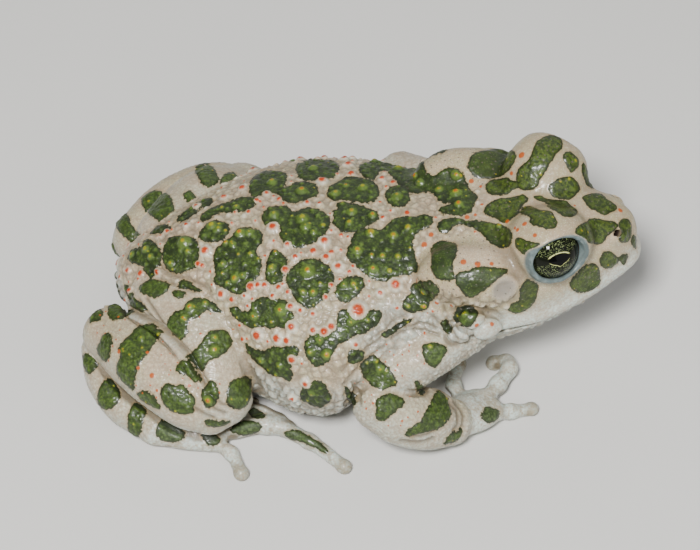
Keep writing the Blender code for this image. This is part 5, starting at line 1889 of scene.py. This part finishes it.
gathered = iris.rise(iris.noise(0.6, 3.0), 0.3, 0.5)
gathered = iris.sum("MULTIPLY", gathered, iris.rise(iris.sum("ABSOLUTE", up_iris), 0.08, 0.28))
specks = iris.sum("MULTIPLY", iris.rise(iris.cells(0.2), 0.15, 0.45, 1.0, 0.0), gathered)
squares = iris.sum("ADD", iris.sum("MULTIPLY", ax, ax), iris.sum("MULTIPLY", up_iris, up_iris))
far_out = iris.sum("SQRT", squares)
specks = iris.sum("MULTIPLY", specks, iris.rise(far_out, 0.75, 0.95, 0.85, 0.0))
tone = iris.mix(specks, IRIS_BLACK, IRIS_GOLD)
tone = iris.mix(iris.sum("LESS_THAN", oval, 1.0), tone, PUPIL)
tone = iris.over(tone, line, 0.9, PUPIL_LINE)
iris.put(iris.shader.inputs["Base Color"], tone)
iris.shader.inputs["Roughness"].default_value = 0.5
iris.shader.inputs["Specular IOR Level"].default_value = 0.0
iris.shader.inputs["Coat Weight"].default_value = 1.0
iris.shader.inputs["Coat IOR"].default_value = 1.22
iris.shader.inputs["Coat Roughness"].default_value = 0.06
for eye in eyes.values():
    eye.data.materials.append(iris.material)
print("eye paint nodes:", len(iris.tree.nodes))

# %% [markdown]
# ## Joining the model to the frame
#
# The toad has no joints, so both eyes and the skin ride on its one body. The skin stands for every
# flesh solid, and each eyeball for its own.

# %% Bodies and replaced solids
FLESH_NODES = [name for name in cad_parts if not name.startswith("eye_")]
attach(skin, "root")
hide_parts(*FLESH_NODES)
for name, eye in eyes.items():
    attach(eye, "root")
    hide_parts(f"eye_{name}")
print("solids replaced by the skin:", len(FLESH_NODES))

# %% [markdown]
# ## Studio
#
# A plain pale floor and soft lights show the form from every side. The main light stands high above
# the camera, so that each wart keeps a small highlight and a shadow.

# %% Floor and light
FLOOR_HALF = 3000.0
floor_corners = np.array([(-1, -1, 0), (1, -1, 0), (1, 1, 0), (-1, 1, 0)]) * FLOOR_HALF
floor = mesh_of("floor", floor_corners, np.array([[0, 1, 2, 3]]))
ground = Paint("studio_floor")
floor_tone = ground.mix(ground.noise(60.0), (0.60, 0.59, 0.56), (0.64, 0.63, 0.60))
ground.put(ground.shader.inputs["Base Color"], floor_tone)
ground.shader.inputs["Roughness"].default_value = 0.85
floor.data.materials.append(ground.material)


def soft_light(name, place, size, watts):
    """A square light of this size, at a place in metres, aimed at the toad."""
    light = bpy.data.lights.new(name, "AREA")
    light.size = size
    light.energy = watts
    obj = bpy.data.objects.new(name, light)
    obj.location = place
    obj.rotation_euler = (Vector(place) - AIM * MM).to_track_quat("Z", "Y").to_euler()
    bpy.context.scene.collection.objects.link(obj)


soft_light("key", (-0.08, -0.37, 0.58), 0.12, 8.0)
soft_light("fill", (0.55, -0.45, 0.35), 0.8, 2.0)
soft_light("back", (0.1, 0.6, 0.5), 0.8, 1.5)
world = bpy.data.worlds.new("studio")
world.use_nodes = True
world.node_tree.nodes["Background"].inputs["Color"].default_value = (0.92, 0.96, 1.0, 1)
world.node_tree.nodes["Background"].inputs["Strength"].default_value = 0.18
bpy.context.scene.world = world
